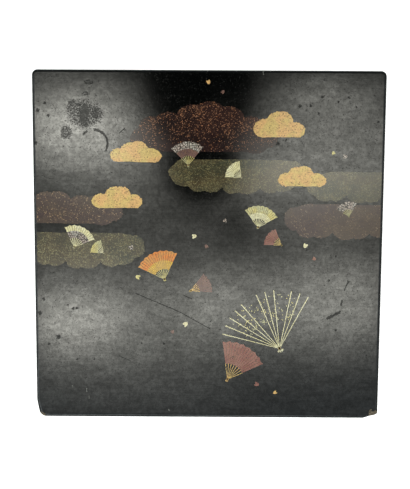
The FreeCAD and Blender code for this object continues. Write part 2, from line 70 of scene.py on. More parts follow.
def finish_piece(name, bm, material, body, replaces=()):
    """Make a piece from a bmesh in millimetres, in the frame's own place."""
    bmesh.ops.transform(bm, matrix=Matrix.Scale(MM, 4), verts=bm.verts)
    mesh = bpy.data.meshes.new(name)
    bm.to_mesh(mesh)
    bm.free()
    piece = bpy.data.objects.new(name, mesh)
    bpy.context.scene.collection.objects.link(piece)
    for item in material if isinstance(material, list) else [material]:
        mesh.materials.append(item)
    mesh.shade_smooth()
    mesh.set_sharp_from_angle(angle=SMOOTH_UNDER)
    # Flat faces keep their own normal, and the narrow faces of a bevel take up the turn.
    flat = piece.modifiers.new("flat_faces", "WEIGHTED_NORMAL")
    flat.mode, flat.weight, flat.keep_sharp = "FACE_AREA", 100, True
    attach(piece, body)
    if replaces:
        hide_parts(*replaces)
    print(f"{name}: {len(mesh.polygons)} faces")


def corners_of(node):
    """Lowest and highest corner of a CAD node, in millimetres."""
    low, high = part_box(node)
    return Vector(low) / MM, Vector(high) / MM


# %% Shape helpers
SHARP_OVER = math.radians(28)
# The cosine from which on a face counts as looking one way.
SAME_WAY = 0.99
# Points this close are one point: where a turned form closes on itself, where the runs of a traced
# outline meet, and between the loose triangles of a CAD mesh.
SEAM_GAP, OUTLINE_GAP, TRIANGLE_GAP = 0.0005, 0.02, 0.001
# The degrees that one straight piece of a traced arc spans, and the fewest pieces that it has.
ARC_PIECE, ARC_FEWEST = 12, 4
SAME_PLANE = math.radians(1)
# Two heights or places that differ by less are the same.
NEAR = 0.01


def clamp(value, low=0.0, high=1.0):
    return min(max(value, low), high)


def bevel(bm, edges, width, segments=3):
    """Round some edges; a width that doesn't fit is clamped."""
    bmesh.ops.bevel(bm, geom=list(edges), offset=width, offset_type="OFFSET", segments=segments,
                    profile=0.5, affect="EDGES", material=-1, clamp_overlap=True)


def sharp_edges(bm):
    return [edge for edge in bm.edges if edge.calc_face_angle(0) > SHARP_OVER]


def edges_above(edges, height):
    """The edges that lie wholly at a height or over it."""
    return [edge for edge in edges if min(vert.co.z for vert in edge.verts) > height - NEAR]


def edges_below(edges, height):
    return [edge for edge in edges if max(vert.co.z for vert in edge.verts) < height + NEAR]


def upright_edges(bm, inside=False, reach=0.0):
    """The upright edges, either of the outside or of a hollow within reach of the middle."""
    found = []
    for edge in bm.edges:
        first, last = (vert.co for vert in edge.verts)
        if (first.xy - last.xy).length > NEAR:
            continue
        if (max(abs(first.x), abs(first.y)) < reach) == inside:
            found.append(edge)
    return found


def block(low, high):
    """A new bmesh that holds one block between two corners."""
    bm = bmesh.new()
    size = [b - a for a, b in zip(low, high)]
    middle = [(a + b) / 2 for a, b in zip(low, high)]
    place = Matrix.Translation(middle) @ Matrix.Diagonal((*size, 1.0))
    bmesh.ops.create_cube(bm, size=1.0, matrix=place)
    return bm


def face_towards(bm, way):
    """The faces that look one way."""
    return [face for face in bm.faces if face.normal.dot(Vector(way)) > SAME_WAY]


def sink(bm, face, wall, drop):
    """Sink a face inside a wall of its own and return the new bottom face."""
    bmesh.ops.inset_region(bm, faces=[face], thickness=wall, use_even_offset=True)
    moved = bmesh.ops.extrude_discrete_faces(bm, faces=[face])["faces"][0]
    bmesh.ops.translate(bm, verts=moved.verts, vec=drop)
    return moved


def chain(places):
    """A new bmesh that holds a row of points, each joined to the next."""
    bm = bmesh.new()
    last = None
    for place in places:
        spot = bm.verts.new(place)
        if last:
            bm.edges.new((last, spot))
        last = spot
    return bm


def turned(profile, centre, steps, along="Y"):
    """Turn a half outline, given as (distance along the axis, radius), about an axis."""
    axis = Vector((0, 1, 0)) if along == "Y" else Vector((0, 0, 1))
    side = Vector((1, 0, 0))
    bm = chain([Vector(centre) + axis * reach + side * radius for reach, radius in profile])
    bmesh.ops.spin(bm, geom=bm.verts[:] + bm.edges[:], cent=centre, axis=axis, angle=math.tau,
                   steps=steps, use_merge=True, use_duplicate=False)
    bmesh.ops.remove_doubles(bm, verts=bm.verts, dist=SEAM_GAP)
    bmesh.ops.recalc_face_normals(bm, faces=bm.faces)
    return bm


def traced(start, *steps):
    """A flat face inside an outline. A step is a point to reach and the arc's turn in degrees."""
    bm = bmesh.new()
    tip = bm.verts.new((*start, 0.0))
    for x, y, turn in steps:
        goal = Vector((x, y, 0.0))
        if not turn:
            tip = bmesh.ops.extrude_vert_indiv(bm, verts=[tip])["verts"][0]
            tip.co = goal
            continue
        chord = goal - tip.co
        sideways = Vector((-chord.y, chord.x, 0.0))
        centre = (tip.co + goal) / 2 + sideways / (2 * math.tan(math.radians(turn) / 2))
        arc = bmesh.ops.spin(bm, geom=[tip], cent=centre, axis=(0, 0, 1),
                             angle=math.radians(turn),
                             steps=max(ARC_FEWEST, round(abs(turn) / ARC_PIECE)),
                             use_merge=False, use_duplicate=False)
        tip = [item for item in arc["geom_last"] if isinstance(item, bmesh.types.BMVert)][0]
    bmesh.ops.remove_doubles(bm, verts=bm.verts, dist=OUTLINE_GAP)
    bmesh.ops.contextual_create(bm, geom=bm.edges[:])
    return bm


def thicken(bm, low, high):
    """Turn flat faces at height 0 into a closed slab between two heights."""
    bmesh.ops.translate(bm, verts=bm.verts, vec=(0, 0, low))
    top = bmesh.ops.extrude_face_region(bm, geom=bm.faces[:])["geom"]
    raised = [item for item in top if isinstance(item, bmesh.types.BMVert)]
    bmesh.ops.translate(bm, verts=raised, vec=(0, 0, high - low))
    bmesh.ops.recalc_face_normals(bm, faces=bm.faces)


def copy_of(node):
    """The mesh of a CAD node as a clean bmesh in millimetres."""
    bm = bmesh.new()
    bm.from_mesh(bpy.data.objects[node].data)
    bmesh.ops.transform(bm, matrix=Matrix.Scale(1 / MM, 4), verts=bm.verts)
    bmesh.ops.remove_doubles(bm, verts=bm.verts, dist=TRIANGLE_GAP)
    bmesh.ops.dissolve_limit(bm, angle_limit=SAME_PLANE, verts=bm.verts, edges=bm.edges)
    return bm


def softened(name, width, material, body, segments=3):
    """A CAD node again, with its sharp edges rounded."""
    bm = copy_of(name)
    bevel(bm, sharp_edges(bm), width, segments)
    finish_piece(f"{name}_soft", bm, material, body, [name])


print("tools for shapes are ready")

# %% [markdown]
# ## Small tools for materials
#
# Each finish is a graph of nodes. Writing one link at a time hides what the graph does, so this
# helper adds a node and fills its sockets in order: a socket is linked, a number is set. Patterns
# are placed by Object coordinates in millimetres, so a speck of 0.5 in a recipe is half a
# millimetre on the real box.

# %% Tools for materials


def colour(red, green, blue):
    return (red, green, blue, 1.0)


class Graph:
    """A material's node tree, with short calls that return the new node's output."""

    def __init__(self, name, tree=None):
        if tree is None:
            self.material = bpy.data.materials.new(name)
            self.material.use_nodes = True
            tree = self.material.node_tree
        self.tree = tree
        self.tree.nodes.clear()

    def fill(self, socket, source):
        if isinstance(source, bpy.types.NodeSocket):
            self.tree.links.new(source, socket)
        elif source is not None:
            socket.default_value = source

    def node(self, kind, *sources, **settings):
        node = self.tree.nodes.new(kind)
        for key, setting in settings.items():
            setattr(node, key, setting)
        for socket, source in zip(node.inputs, sources):
            self.fill(socket, source)
        return node

    def named(self, kind, sockets, **settings):
        node = self.node(kind, **settings)
        for key, source in sockets.items():
            self.fill(node.inputs[key], source)
        return node

    def math(self, operation, *sources):
        return self.node("ShaderNodeMath", *sources, operation=operation).outputs[0]

    def plus(self, first, second):
        return self.math("ADD", first, second)

    def minus(self, first, second):
        return self.math("SUBTRACT", first, second)

    def times(self, first, second):
        return self.math("MULTIPLY", first, second)

    def over(self, first, second):
        return self.math("DIVIDE", first, second)

    def larger(self, first, second):
        return self.math("MAXIMUM", first, second)

    def smaller(self, first, second):
        return self.math("MINIMUM", first, second)

    def vector(self, operation, *sources):
        node = self.node("ShaderNodeVectorMath", *sources, operation=operation)
        scalar = operation in ("DOT_PRODUCT", "LENGTH", "DISTANCE")
        return node.outputs["Value" if scalar else "Vector"]

    def place(self):
        """Where a point of the piece is, in millimetres."""
        spot = self.node("ShaderNodeTexCoord").outputs["Object"]
        return self.vector("MULTIPLY", spot, (1 / MM, 1 / MM, 1 / MM))

    def stretch(self, place, factors):
        return self.vector("MULTIPLY", place, factors)

    def along(self, place, angle, lengthwise, across):
        """Turn a place by an angle in the lid's plane, then stretch it."""
        turn = math.radians(angle)
        far = self.vector("DOT_PRODUCT", place, (math.cos(turn), math.sin(turn), 0.0))
        wide = self.vector("DOT_PRODUCT", place, (-math.sin(turn), math.cos(turn), 0.0))
        wide = self.times(wide, across)
        return self.node("ShaderNodeCombineXYZ", self.times(far, lengthwise), wide,
                         0.0).outputs[0]

    def parts(self, place):
        return self.node("ShaderNodeSeparateXYZ", place).outputs

    def noise(self, place, scale, detail=3.0, roughness=0.55):
        """Cloudy noise around 0.5; scale counts waves per millimetre."""
        sockets = {"Vector": place, "Scale": scale, "Detail": detail, "Roughness": roughness}
        return self.named("ShaderNodeTexNoise", sockets).outputs["Fac"]

    def cells(self, place, scale):
        """Scattered cells: the distance to the nearest centre and a chance colour per cell."""
        node = self.named("ShaderNodeTexVoronoi", {"Vector": place, "Scale": scale})
        return node.outputs["Distance"], node.outputs["Color"]

    def step(self, value, low, high, start=0.0, stop=1.0):
        """A smooth step from start, where value is low, to stop, where it is high."""
        sockets = {"Value": value, "From Min": low, "From Max": high, "To Min": start,
                   "To Max": stop}
        return self.named("ShaderNodeMapRange", sockets,
                          interpolation_type="SMOOTHSTEP").outputs[0]

    def blend(self, share, first, second):
        """Mix two colours: first where share is 0, second where it is 1."""
        node = self.node("ShaderNodeMix", data_type="RGBA", clamp_factor=True)
        for index, source in ((0, share), (6, first), (7, second)):
            self.fill(node.inputs[index], source)
        return node.outputs[2]

    def mix(self, share, first, second):
        """Mix two numbers."""
        node = self.node("ShaderNodeMix", data_type="FLOAT", clamp_factor=True)
        for index, source in ((0, share), (2, first), (3, second)):
            self.fill(node.inputs[index], source)
        return node.outputs[0]

    def bump(self, height, depth, normal=None):
        """A normal from a height map; depth is in millimetres."""
        sockets = {"Strength": 1.0, "Distance": depth * MM, "Height": height, "Normal": normal}
        return self.named("ShaderNodeBump", sockets).outputs[0]

    def tilt(self, chance, amount):
        """Lean each cell's normal its own way, as a flake of metal lies in lacquer."""
        lean = self.vector("SUBTRACT", chance, (0.5, 0.5, 0.5))
        lean = self.vector("MULTIPLY", lean, (amount, amount, amount))
        straight = self.node("ShaderNodeNewGeometry").outputs["Normal"]
        return self.vector("NORMALIZE", self.vector("ADD", straight, lean))

    def surface(self, **sockets):
        """End the graph in one Principled surface and return its material."""
        named = {key.replace("_", " "): source for key, source in sockets.items()}
        shader = self.named("ShaderNodeBsdfPrincipled", named)
        output = self.node("ShaderNodeOutputMaterial")
        self.tree.links.new(shader.outputs[0], output.inputs["Surface"])
        return self.material


print("tools for materials are ready")

# %% [markdown]
# ## The camera
#
# The lid is seen from straight above, from about thirty centimetres. The camera stands a little
# behind the middle of the lid and leans forward by about as much, so the far side of the lid comes
# out a few percent wider than the near side, and it is turned by a third of a degree.

# %% Camera
CAMERA_PLACE = Vector((-2.03, 18.93, 344.0))
# Its lean forward, its tip to the side and its turn, in degrees.
CAMERA_TURNS = (-3.232, 0.063, 0.324)
CAMERA_LENS, SENSOR_WIDTH = 32.04, 36.0

camera_data = bpy.data.cameras.new("camera")
camera_data.sensor_width = SENSOR_WIDTH
camera_data.lens = CAMERA_LENS
camera = bpy.data.objects.new("camera", camera_data)
camera.location = CAMERA_PLACE * MM
camera.rotation_euler = [math.radians(turn) for turn in CAMERA_TURNS]
bpy.context.scene.collection.objects.link(camera)
bpy.context.scene.camera = camera
bpy.context.scene.view_settings.view_transform = "Standard"
print("camera", [round(value) for value in CAMERA_PLACE], "mm, lens", CAMERA_LENS)

# %% [markdown]
# ## The room overhead
#
# Black lacquer has almost no colour of its own: what the eye sees in it is the room, mirrored at
# four percent. So the light is the most important material here. The world's colour is worked out
# from the direction of each ray. Straight up there is a dim ceiling with soft bright windows and
# one dark gap; a ring of soft light stands around it, and near the horizon the room is dim, which
# draws a dark line along every rounded edge. A direction is named by the point of the lid that
# mirrors it to the camera, so each window can be placed by eye.

# %% World
LID_TOP = corners_of("lid_board")[1].z
CAMERA_HEIGHT = CAMERA_PLACE.z - LID_TOP
# Each window: the lid point that mirrors it (mm), its half width and half height (mm), brightness.
WINDOWS = [
    ((-95, -51), (34, 20), 6.2),
    ((7, -39), (29, 23), 3.4),
    ((86, -37), (51, 33), 5.8),
    ((-87, 81), (44, 24), 9.6),
    ((79, 100), (30, 14), 2.6),
    ((-62, -48), (85, 45), 3.6),
    ((40, 60), (130, 41), 4.9),
]
# The dark gap between the windows: three bells that run together, each with its depth.
GAPS = [((-6, 117), (38, 60), 2.2), ((-5, 56), (33, 34), 1.5), ((17, 20), (17, 20), 0.75)]
# The dim ceiling's light where the lid's middle mirrors it, and where its front edge does.
CEILING_MIDDLE, CEILING_FRONT = 0.2, 0.62
LID_MIDDLE, LID_FRONT = (0, 0), (0, -120)
WARM_LIGHT = colour(1.0, 0.992, 0.892)
COOL_LIGHT = colour(0.93, 1.02, 1.04)
# How far from straight up, in degrees, the windows end, and the ring of light begins and ends.
OVERHEAD_TO = (33.0, 38.0)
RING_FROM, RING_TO = (35.0, 41.0), (50.0, 58.0)
RING_LIGHT = 3.0
# The ring is open on the far side, so the lid's far edge ends in a black line, and on the right it
# is weaker than elsewhere.
RING_OPEN = (0.1, 0.45)
RING_RIGHT, RING_RIGHT_SHARE = (0.1, 0.42), 0.35
HORIZON_FROM, HORIZON_LIGHT = (30.0, 45.0), 0.12
# Just over the horizon it is lighter again, for a sheen when the lid is seen at a low angle.
SHEEN_FROM, SHEEN_LIGHT = (62.0, 76.0), 0.28
BACKDROP, BACKDROP_LIGHT = colour(1.0, 1.0, 1.0), 0.94
# Rays flatter than this are worked out as if they rose this much.
LOWEST_RISE = 0.02


def mirrored(place):
    """The slope, sideways and away, of the ray that a lid point mirrors to the camera."""
    return [(there - eye) / CAMERA_HEIGHT for there, eye in zip(place, CAMERA_PLACE)]


def build_world():
    world = bpy.data.worlds.new("room")
    bpy.context.scene.world = world
    world.use_nodes = True
    g = Graph("room", world.node_tree)
    across, away, up = g.parts(g.node("ShaderNodeTexCoord").outputs["Generated"])
    height = g.larger(up, LOWEST_RISE)
    slope = g.node("ShaderNodeCombineXYZ", g.over(across, height),
                   g.over(away, height), 0.0).outputs[0]

    def glow(place, size):
        offset = g.vector("SUBTRACT", slope, (*mirrored(place), 0.0))
        spans = g.vector("MULTIPLY", offset, (*(CAMERA_HEIGHT / half for half in size), 0.0))
        squared = g.vector("DOT_PRODUCT", spans, spans)
        return g.math("EXPONENT", g.times(squared, -1.0))

    middle, front = mirrored(LID_MIDDLE)[1], mirrored(LID_FRONT)[1]
    ceiling = g.step(g.over(away, height), front, middle, CEILING_FRONT, CEILING_MIDDLE)
    windows = 0.0
    for place, size, brightness in WINDOWS:
        windows = g.plus(windows, g.times(glow(place, size), brightness))
    # A gap deeper than one is cut off there, which gives it a flat dark bottom.
    gap = 0.0
    for place, size, depth in GAPS:
        gap = g.larger(gap, g.times(glow(place, size), depth))
    gap = g.smaller(gap, 1.0)
    lean = g.math("DEGREES", g.math("ARCCOSINE", up))
    open_sky = g.minus(1.0, gap)
    open_sky = g.times(open_sky, g.step(lean, *OVERHEAD_TO, 1.0, 0.0))
    ceiling = g.times(ceiling, open_sky)
    windows = g.times(windows, open_sky)
    ring = g.times(g.step(lean, *RING_FROM), g.step(lean, *RING_TO, RING_LIGHT, 0.0))
    ring = g.times(ring, g.step(away, *RING_OPEN, 1.0, 0.0))
    ring = g.times(ring, g.step(across, *RING_RIGHT, 1.0, RING_RIGHT_SHARE))
    horizon = g.step(lean, *HORIZON_FROM, 0.0, HORIZON_LIGHT)
    ceiling = g.larger(g.plus(ceiling, ring), horizon)
    ceiling = g.plus(ceiling, g.step(lean, *SHEEN_FROM, 0.0, SHEEN_LIGHT))

    seen = g.node("ShaderNodeLightPath").outputs["Is Camera Ray"]
    warm, cool, plain = (
        g.named("ShaderNodeBackground", {"Color": tint, "Strength": strength}).outputs[0]
        for tint, strength in ((WARM_LIGHT, windows), (COOL_LIGHT, ceiling),
                               (BACKDROP, BACKDROP_LIGHT)))
    room = g.node("ShaderNodeAddShader", warm, cool).outputs[0]
    total = g.node("ShaderNodeMixShader", seen, room, plain).outputs[0]
    g.fill(g.node("ShaderNodeOutputWorld").inputs["Surface"], total)


build_world()
print(len(WINDOWS), "windows in the room overhead")

# %% [markdown]
# ## The floor
#
# A plain pale sheet. It glows a little, as a light table does, so that it stays white right up to
# the box and the box keeps only a faint shadow. The glow is meant for the eye: the box mirrors
# less of it, and its sides stay black.

# %% Floor
FLOOR_HALF = 4000.0
FLOOR_WHITE, FLOOR_MIRRORED = colour(0.9, 0.9, 0.9), colour(0.405, 0.405, 0.405)
FLOOR_ROUGH, FLOOR_GLOW = 0.9, 0.6


def build_floor():
    g = Graph("floor_paper")
    seen = g.node("ShaderNodeLightPath").outputs["Is Camera Ray"]
    white = g.blend(seen, FLOOR_MIRRORED, FLOOR_WHITE)
    paper = g.surface(Base_Color=white, Roughness=FLOOR_ROUGH, Emission_Color=colour(1, 1, 1),
                      Emission_Strength=g.times(seen, FLOOR_GLOW))
    bm = bmesh.new()
    bmesh.ops.create_grid(bm, x_segments=1, y_segments=1, size=FLOOR_HALF * MM)
    mesh = bpy.data.meshes.new("floor")
    bm.to_mesh(mesh)
    bm.free()
    mesh.materials.append(paper)
    floor = bpy.data.objects.new("floor", mesh)
    bpy.context.scene.collection.objects.link(floor)


build_floor()
print("floor laid")

# %% [markdown]
# ## Black lacquer
#
# Urushi is built up in many thin coats over wood and rubbed to a deep gloss. It is nearly black,
# so what shows is how it mirrors the room: a clean coat mirrors it clearly, a worn one blurs it.
# The recipe therefore lives in the roughness and in very shallow waves, with fine polishing
# streaks that run along the lid, and hardly at all in the colour.
#
# The lid has had a long life. Its marks are placed in millimetres from its middle: dull
# spots, the ring of a cup, scratches, pale scuffs, and the places where the coat has broken away
# and the brown ground coat shows.

# %% Where the lid is worn
# Dull spots: place and radius.
SPOTS = [
    ((-115.9, 92.4), 1.5), ((76.7, 102.2), 1.4), ((61.1, 95.9), 1.2), ((68.3, 96.3), 1.0),
    ((114.4, 85.9), 1.0), ((46.2, 71.1), 1.7), ((52.2, 73.2), 0.8), ((74.1, 91.2), 0.9),
    ((87.2, 99.1), 0.7), ((99.3, 95.6), 0.7), ((94.3, 101.6), 0.8), ((87.9, -5.5), 0.8),
    ((67.3, -1.2), 0.8), ((83.3, -22.5), 0.8), ((96.5, -23.2), 1.0), ((36.5, -74.7), 0.8),
    ((88.7, -57.0), 0.7), ((-103.9, -63.0), 1.9), ((-93.2, -42.6), 1.0), ((-90.6, -42.2), 1.1),
    ((-96.8, -40.6), 0.7), ((-113.5, -36.2), 1.2), ((-116.5, -46.0), 1.7), ((-110.4, -67.9), 0.8),
    ((-46.2, -67.0), 0.9), ((-30.6, -67.3), 1.0), ((-90.7, -78.5), 0.7), ((-79.0, -78.4), 0.6),
    ((-108.7, 88.7), 0.9), ((-111.0, 97.4), 1.1), ((-117.8, 70.3), 1.6),
]
# Dark scratches and pale scuffs: both ends and half the width.
SCRATCHES = [
    ((-60.5, 77.3), (-56.8, 80.7), 0.24), ((-49.9, -32.0), (-20.0, -44.5), 0.24),
    ((-20.0, -44.5), (1.7, -56.6), 0.2), ((-61.3, -76.0), (-53.6, -79.5), 0.22),
    ((82.6, -48.9), (91.0, -44.4), 0.95), ((92.0, -39.3), (92.7, -36.1), 0.6),
    ((93.9, -29.5), (96.4, -23.2), 0.32), ((-16.9, -33.1), (-11.3, -35.6), 0.2),
]
SCUFFS = [
    ((-110.4, -6.1), (-106.8, -10.9), 0.22), ((-104.6, -1.2), (-99.9, -7.6), 0.14),
    ((-102.3, -2.0), (-101.5, -3.8), 0.18), ((-94.4, -97.3), (-94.1, -98.7), 0.3),
    ((-84.5, -99.2), (-84.4, -101.5), 0.32), ((-82.9, -104.4), (-82.8, -106.3), 0.26),
    ((-27.1, -114.0), (-26.6, -114.6), 0.35), ((36.1, 118.6), (36.3, 116.7), 0.3),
]
# The ways in which fine scratches run, in degrees.
FINE_SCRATCHES = (-24, 38, 71, 160)
# The dull stain: its heart, and the patches of specks around it, with their half widths.
STAIN_HEART = [((-84.2, 89.6), (4.7, 9.4)), ((-76.4, 90), (2.6, 5))]
STAIN_SPECKS = [
    ((-84.3, 90), (12.3, 10.4)), ((-76.5, 89.7), (5.4, 7.4)), ((-92.1, 94.5), (4.6, 6)),
    ((-96.7, 77.6), (4.6, 5.6)), ((-81.2, 110.9), (3.8, 1.9)), ((-83.2, 103.4), (2.8, 1.5)),
]
# The cup's ring: its middle, its radius and half the width of its line. Angles are in radians from
# the right: where it sets in and where it stops, and the middle and the half width of a gap.
RING_PLACE, RING_RADIUS, RING_HALF = (-77.9, 70.2), 9.3, 0.6
RING_SETS_IN, RING_STOPS = (-0.75, -0.45), (2.55, 2.4)
RING_GAP, RING_GAP_HALF = 1.81, (0.20, 0.28)
# Where the ground coat shows: place on the lid, height, and reach.
BARE = [
    ((-116.6, -116.9, 45.4), 1.2), ((-115.2, -118.4, 45.5), 1.9), ((-113.4, -119.6, 45.2), 1.6),
    ((120.2, -92.4, 45.4), 0.8), ((114.4, -114.0, 45.6), 0.9), ((117.8, -113.9, 45.4), 0.9),
]
BARE_DARK, BARE_PALE = colour(0.035, 0.024, 0.015), colour(0.15, 0.12, 0.08)
print(len(SPOTS), "dull spots and", len(SCRATCHES) + len(SCUFFS), "scratches and scuffs")

# %% Black lacquer


class Wear:
    """Masks for the lid's marks, drawn in the plan of the lid."""

    def __init__(self, graph, place):
        self.g = graph
        self.place = place
        self.flat = graph.stretch(place, (1.0, 1.0, 0.0))
        wobble = graph.noise(place, 0.9, detail=2.0)
        self.wobble = graph.step(wobble, 0.3, 0.7, -0.45, 0.45)

    def largest(self, masks):
        total = masks[0]
        for mask in masks[1:]:
            total = self.g.larger(total, mask)
        return total

    def spot(self, centre, radius):
        away = self.g.vector("DISTANCE", self.flat, (*centre, 0.0))
        away = self.g.plus(away, self.wobble)
        return self.g.step(away, radius * 1.05, radius * 0.45)

    def line(self, start, end, half):
        """A mark along a straight run: how far a point is from the nearest point of the run."""
        g = self.g
        run = Vector((*end, 0.0)) - Vector((*start, 0.0))
        offset = g.vector("SUBTRACT", self.flat, (*start, 0.0))
        share = g.over(g.vector("DOT_PRODUCT", offset, tuple(run)), run.length_squared)
        share = g.node("ShaderNodeClamp", share).outputs[0]
        along = g.node("ShaderNodeVectorMath", tuple(run), operation="SCALE")
        g.fill(along.inputs["Scale"], share)
        away = g.vector("DISTANCE", offset, along.outputs["Vector"])
        away = g.plus(away, g.times(self.wobble, half))
        return g.step(away, half * 1.25, half * 0.5)

    def within(self, patches):
        """How far out a point is: 0 in the middle of an oval patch and 1 on its edge."""
        g = self.g
        away = 9.0
        for centre, size in patches:
            offset = g.vector("SUBTRACT", self.flat, (*centre, 0.0))
            offset = g.vector("DIVIDE", offset, (*size, 1.0))
            away = g.smaller(away, g.vector("LENGTH", offset))
        return away

    def stain(self):
        """A dull stain, whose specks close up towards its heart, and a few specks elsewhere."""
        g = self.g
        stray = g.step(g.noise(self.place, 0.8, detail=4.0, roughness=0.75), 0.58, 0.66)
        fine = g.noise(self.place, 1.0, detail=4.0, roughness=0.78)
        thick = g.larger(g.step(self.within(STAIN_SPECKS), 1.2, 0.6, 0.0, 0.17),
                         g.step(self.within(STAIN_HEART), 1.4, 0.5, 0.0, 0.24))
        return g.larger(stray, g.step(g.plus(fine, thick), 0.58, 0.68))

    def ring(self):
        """The broken ring of a cup, with two gaps in its upper left."""
        g = self.g
        offset = g.vector("SUBTRACT", self.flat, (*RING_PLACE, 0.0))
        off_line = g.minus(g.vector("LENGTH", offset), RING_RADIUS)
        off_line = g.math("ABSOLUTE", off_line)
        off_line = g.plus(off_line, g.times(self.wobble, 0.5))
        east, north, _ = g.parts(offset)
        turn = g.math("ARCTAN2", north, east)
        shown = g.times(g.step(turn, *RING_SETS_IN), g.step(turn, *RING_STOPS))
        gap = g.math("ABSOLUTE", g.minus(turn, RING_GAP))
        shown = g.times(shown, g.step(gap, *RING_GAP_HALF))
        return g.times(g.step(off_line, RING_HALF * 1.6, RING_HALF * 0.6), shown)


def black_lacquer(name, worn):
    """Aged black lacquer; the lid's own coat also carries its placed marks."""
    g = Graph(name)
    place = g.place()
    streaks = g.noise(g.stretch(place, (0.05, 1.3, 1.0)), 1.0, detail=5.0, roughness=0.65)
    clouds = g.noise(place, 0.045, detail=5.0, roughness=0.6)
    mottle = g.noise(place, 0.30, detail=6.0, roughness=0.75)
    smears = g.noise(g.stretch(place, (0.07, 0.13, 0.1)), 1.0, detail=3.0, roughness=0.6)
    grit = g.noise(place, 0.62, detail=4.0, roughness=0.8)
    gap, chance = g.cells(place, 0.30)
    lot = g.node("ShaderNodeSeparateColor", chance).outputs[0]
    pits = g.times(g.step(gap, 0.13, 0.05), g.step(lot, 0.80, 0.84))
    rough = g.plus(g.step(streaks, 0.35, 0.7, 0.08, 0.13),
                   g.step(clouds, 0.5, 0.75, 0.0, 0.05))
    # The clear top layer is thinner where hands and cloths have rubbed it away.
    film = g.times(g.step(mottle, 0.38, 0.62, 0.62, 1.0),
                   g.step(streaks, 0.38, 0.62, 0.80, 1.0))
    film = g.times(film, g.step(smears, 0.38, 0.62, 0.70, 1.0))
    film = g.times(film, g.step(grit, 0.38, 0.60, 0.62, 1.0))
    film = g.times(film, g.minus(1.0, g.times(pits, 0.8)))
    film = g.smaller(g.times(film, 1.22), 1.0)
    for angle in FINE_SCRATCHES:
        hairs = g.noise(g.along(place, angle, 0.035, 1.5), 1.0, detail=2.0, roughness=0.6)
        film = g.times(film, g.step(hairs, 0.66, 0.72, 1.0, 0.66))
    # The sides are handled less and keep an even coat.
    top = g.step(g.parts(place)[2], 43.5, 45.0) if worn else 0.0
    film = g.mix(top, 0.85, film)
    base = colour(0.0008, 0.0010, 0.0009)
    waves = g.bump(g.noise(place, 0.055, detail=5.0, roughness=0.62), 0.035)
    waves = g.bump(g.noise(g.stretch(place, (0.10, 2.2, 1.0)), 1.0, detail=4.0), 0.0022, waves)
    waves = g.bump(grit, 0.0022, waves)
    if worn:
        wear = Wear(g, place)
        stain = wear.stain()
        dark = wear.largest([wear.spot(*spot) for spot in SPOTS])
        cuts = wear.largest([wear.line(*line) for line in SCRATCHES] + [wear.ring()])
        pale = wear.largest([wear.line(*line) for line in SCUFFS])
        bare = wear.largest([
            g.step(g.plus(g.vector("DISTANCE", place, centre), wear.wobble), reach,
                   reach * 0.7) for centre, reach in BARE])
        marks = g.times(g.larger(dark, cuts), top)
        dull = g.times(g.larger(stain, marks), 0.8)
        rough = g.mix(dull, rough, 0.45)
        rough = g.mix(g.larger(bare, pale), rough, 0.6)
        film = g.times(film, g.minus(1.0, g.larger(dull, bare)))
        base = g.blend(pale, base, colour(0.11, 0.11, 0.10))
        ground = g.blend(g.step(g.noise(place, 1.5), 0.35, 0.6), BARE_DARK, BARE_PALE)
        base = g.blend(bare, base, ground)
        waves = g.bump(marks, -0.02, waves)
    return g.surface(Base_Color=base, Roughness=rough, Normal=waves, IOR=1.5,
                     Specular_IOR_Level=0.17, Coat_Weight=film, Coat_Roughness=0.07, Coat_IOR=1.5,
                     Coat_Normal=waves)


LID_LACQUER = black_lacquer("lid_lacquer", worn=True)
BOX_LACQUER = black_lacquer("box_lacquer", worn=False)
print("black lacquer for the lid and for the box")

# %% [markdown]
# ## Speckled lacquer
#
# Inside, the box is finished in nashiji: flakes of gold are strewn over the wet coat and sunk
# under a clear amber one. Each flake is one cell of a Voronoi pattern. A cell that wins the draw
# is metal and leans its own way, so the flakes catch the light one by one, and the clear coat over
# them stays smooth. The same recipe, with other colours and more or less gold, makes the clouds on
# the lid.

# %% Speckled lacquer


def speckled(name, ground, gold, size, share, dust, lean=0.5, drift=None, coat=1.0, blush=None):
    """Flakes of metal in lacquer.

    size is a flake's width, share how many cells hold one, dust how much fine powder lies between
    them, drift makes them thin out: (place, place) from dense to bare, and blush is a second
    ground colour that comes and goes.
    """
    g = Graph(name)
    place = g.place()
    gap, chance = g.cells(place, 1 / size)
    draw, shade, _ = g.node("ShaderNodeSeparateColor", chance).outputs
    clouds = g.noise(place, 0.12, detail=4.0)
    thin = g.step(clouds, 0.32, 0.68, 1.5, 0.5)
    if drift:
        start, end = (Vector((*spot, 0.0)) for spot in drift)
        run = end - start
        offset = g.vector("SUBTRACT", place, tuple(start))
        along = g.over(g.vector("DOT_PRODUCT", offset, tuple(run)), run.length_squared)
        thin = g.times(thin, g.step(along, 0.0, 1.0, 1.0, 0.25))
    limit = g.minus(1.0, g.times(thin, share))
    flakes = g.times(g.math("GREATER_THAN", draw, limit), g.step(gap, 0.55, 0.4))
    powder = g.noise(place, 1.9, detail=3.0, roughness=0.8)
    powder = g.times(g.step(powder, 0.44, 0.62), g.times(thin, dust))
    metal = g.larger(flakes, powder)
    # Some flakes lie deeper in the amber coat and look redder and darker than others.
    deep = g.blend(shade, colour(gold[0] * 0.3, gold[1] * 0.22, gold[2] * 0.15), gold)
    if blush:
        tint = g.noise(g.stretch(place, (0.02, 0.05, 0.05)), 1.0, detail=5.0, roughness=0.65)
        ground = g.blend(g.step(tint, 0.36, 0.62), ground, blush)
    base = g.blend(metal, ground, deep)
    smooth = g.bump(g.noise(place, 0.3, detail=3.0), 0.004)
    return g.surface(Base_Color=base, Metallic=g.times(metal, 0.85), Roughness=0.32,
                     Specular_IOR_Level=0.04, Normal=g.tilt(chance, lean), Coat_Weight=coat,
                     Coat_Roughness=0.09, Coat_IOR=1.5, Coat_Normal=smooth)


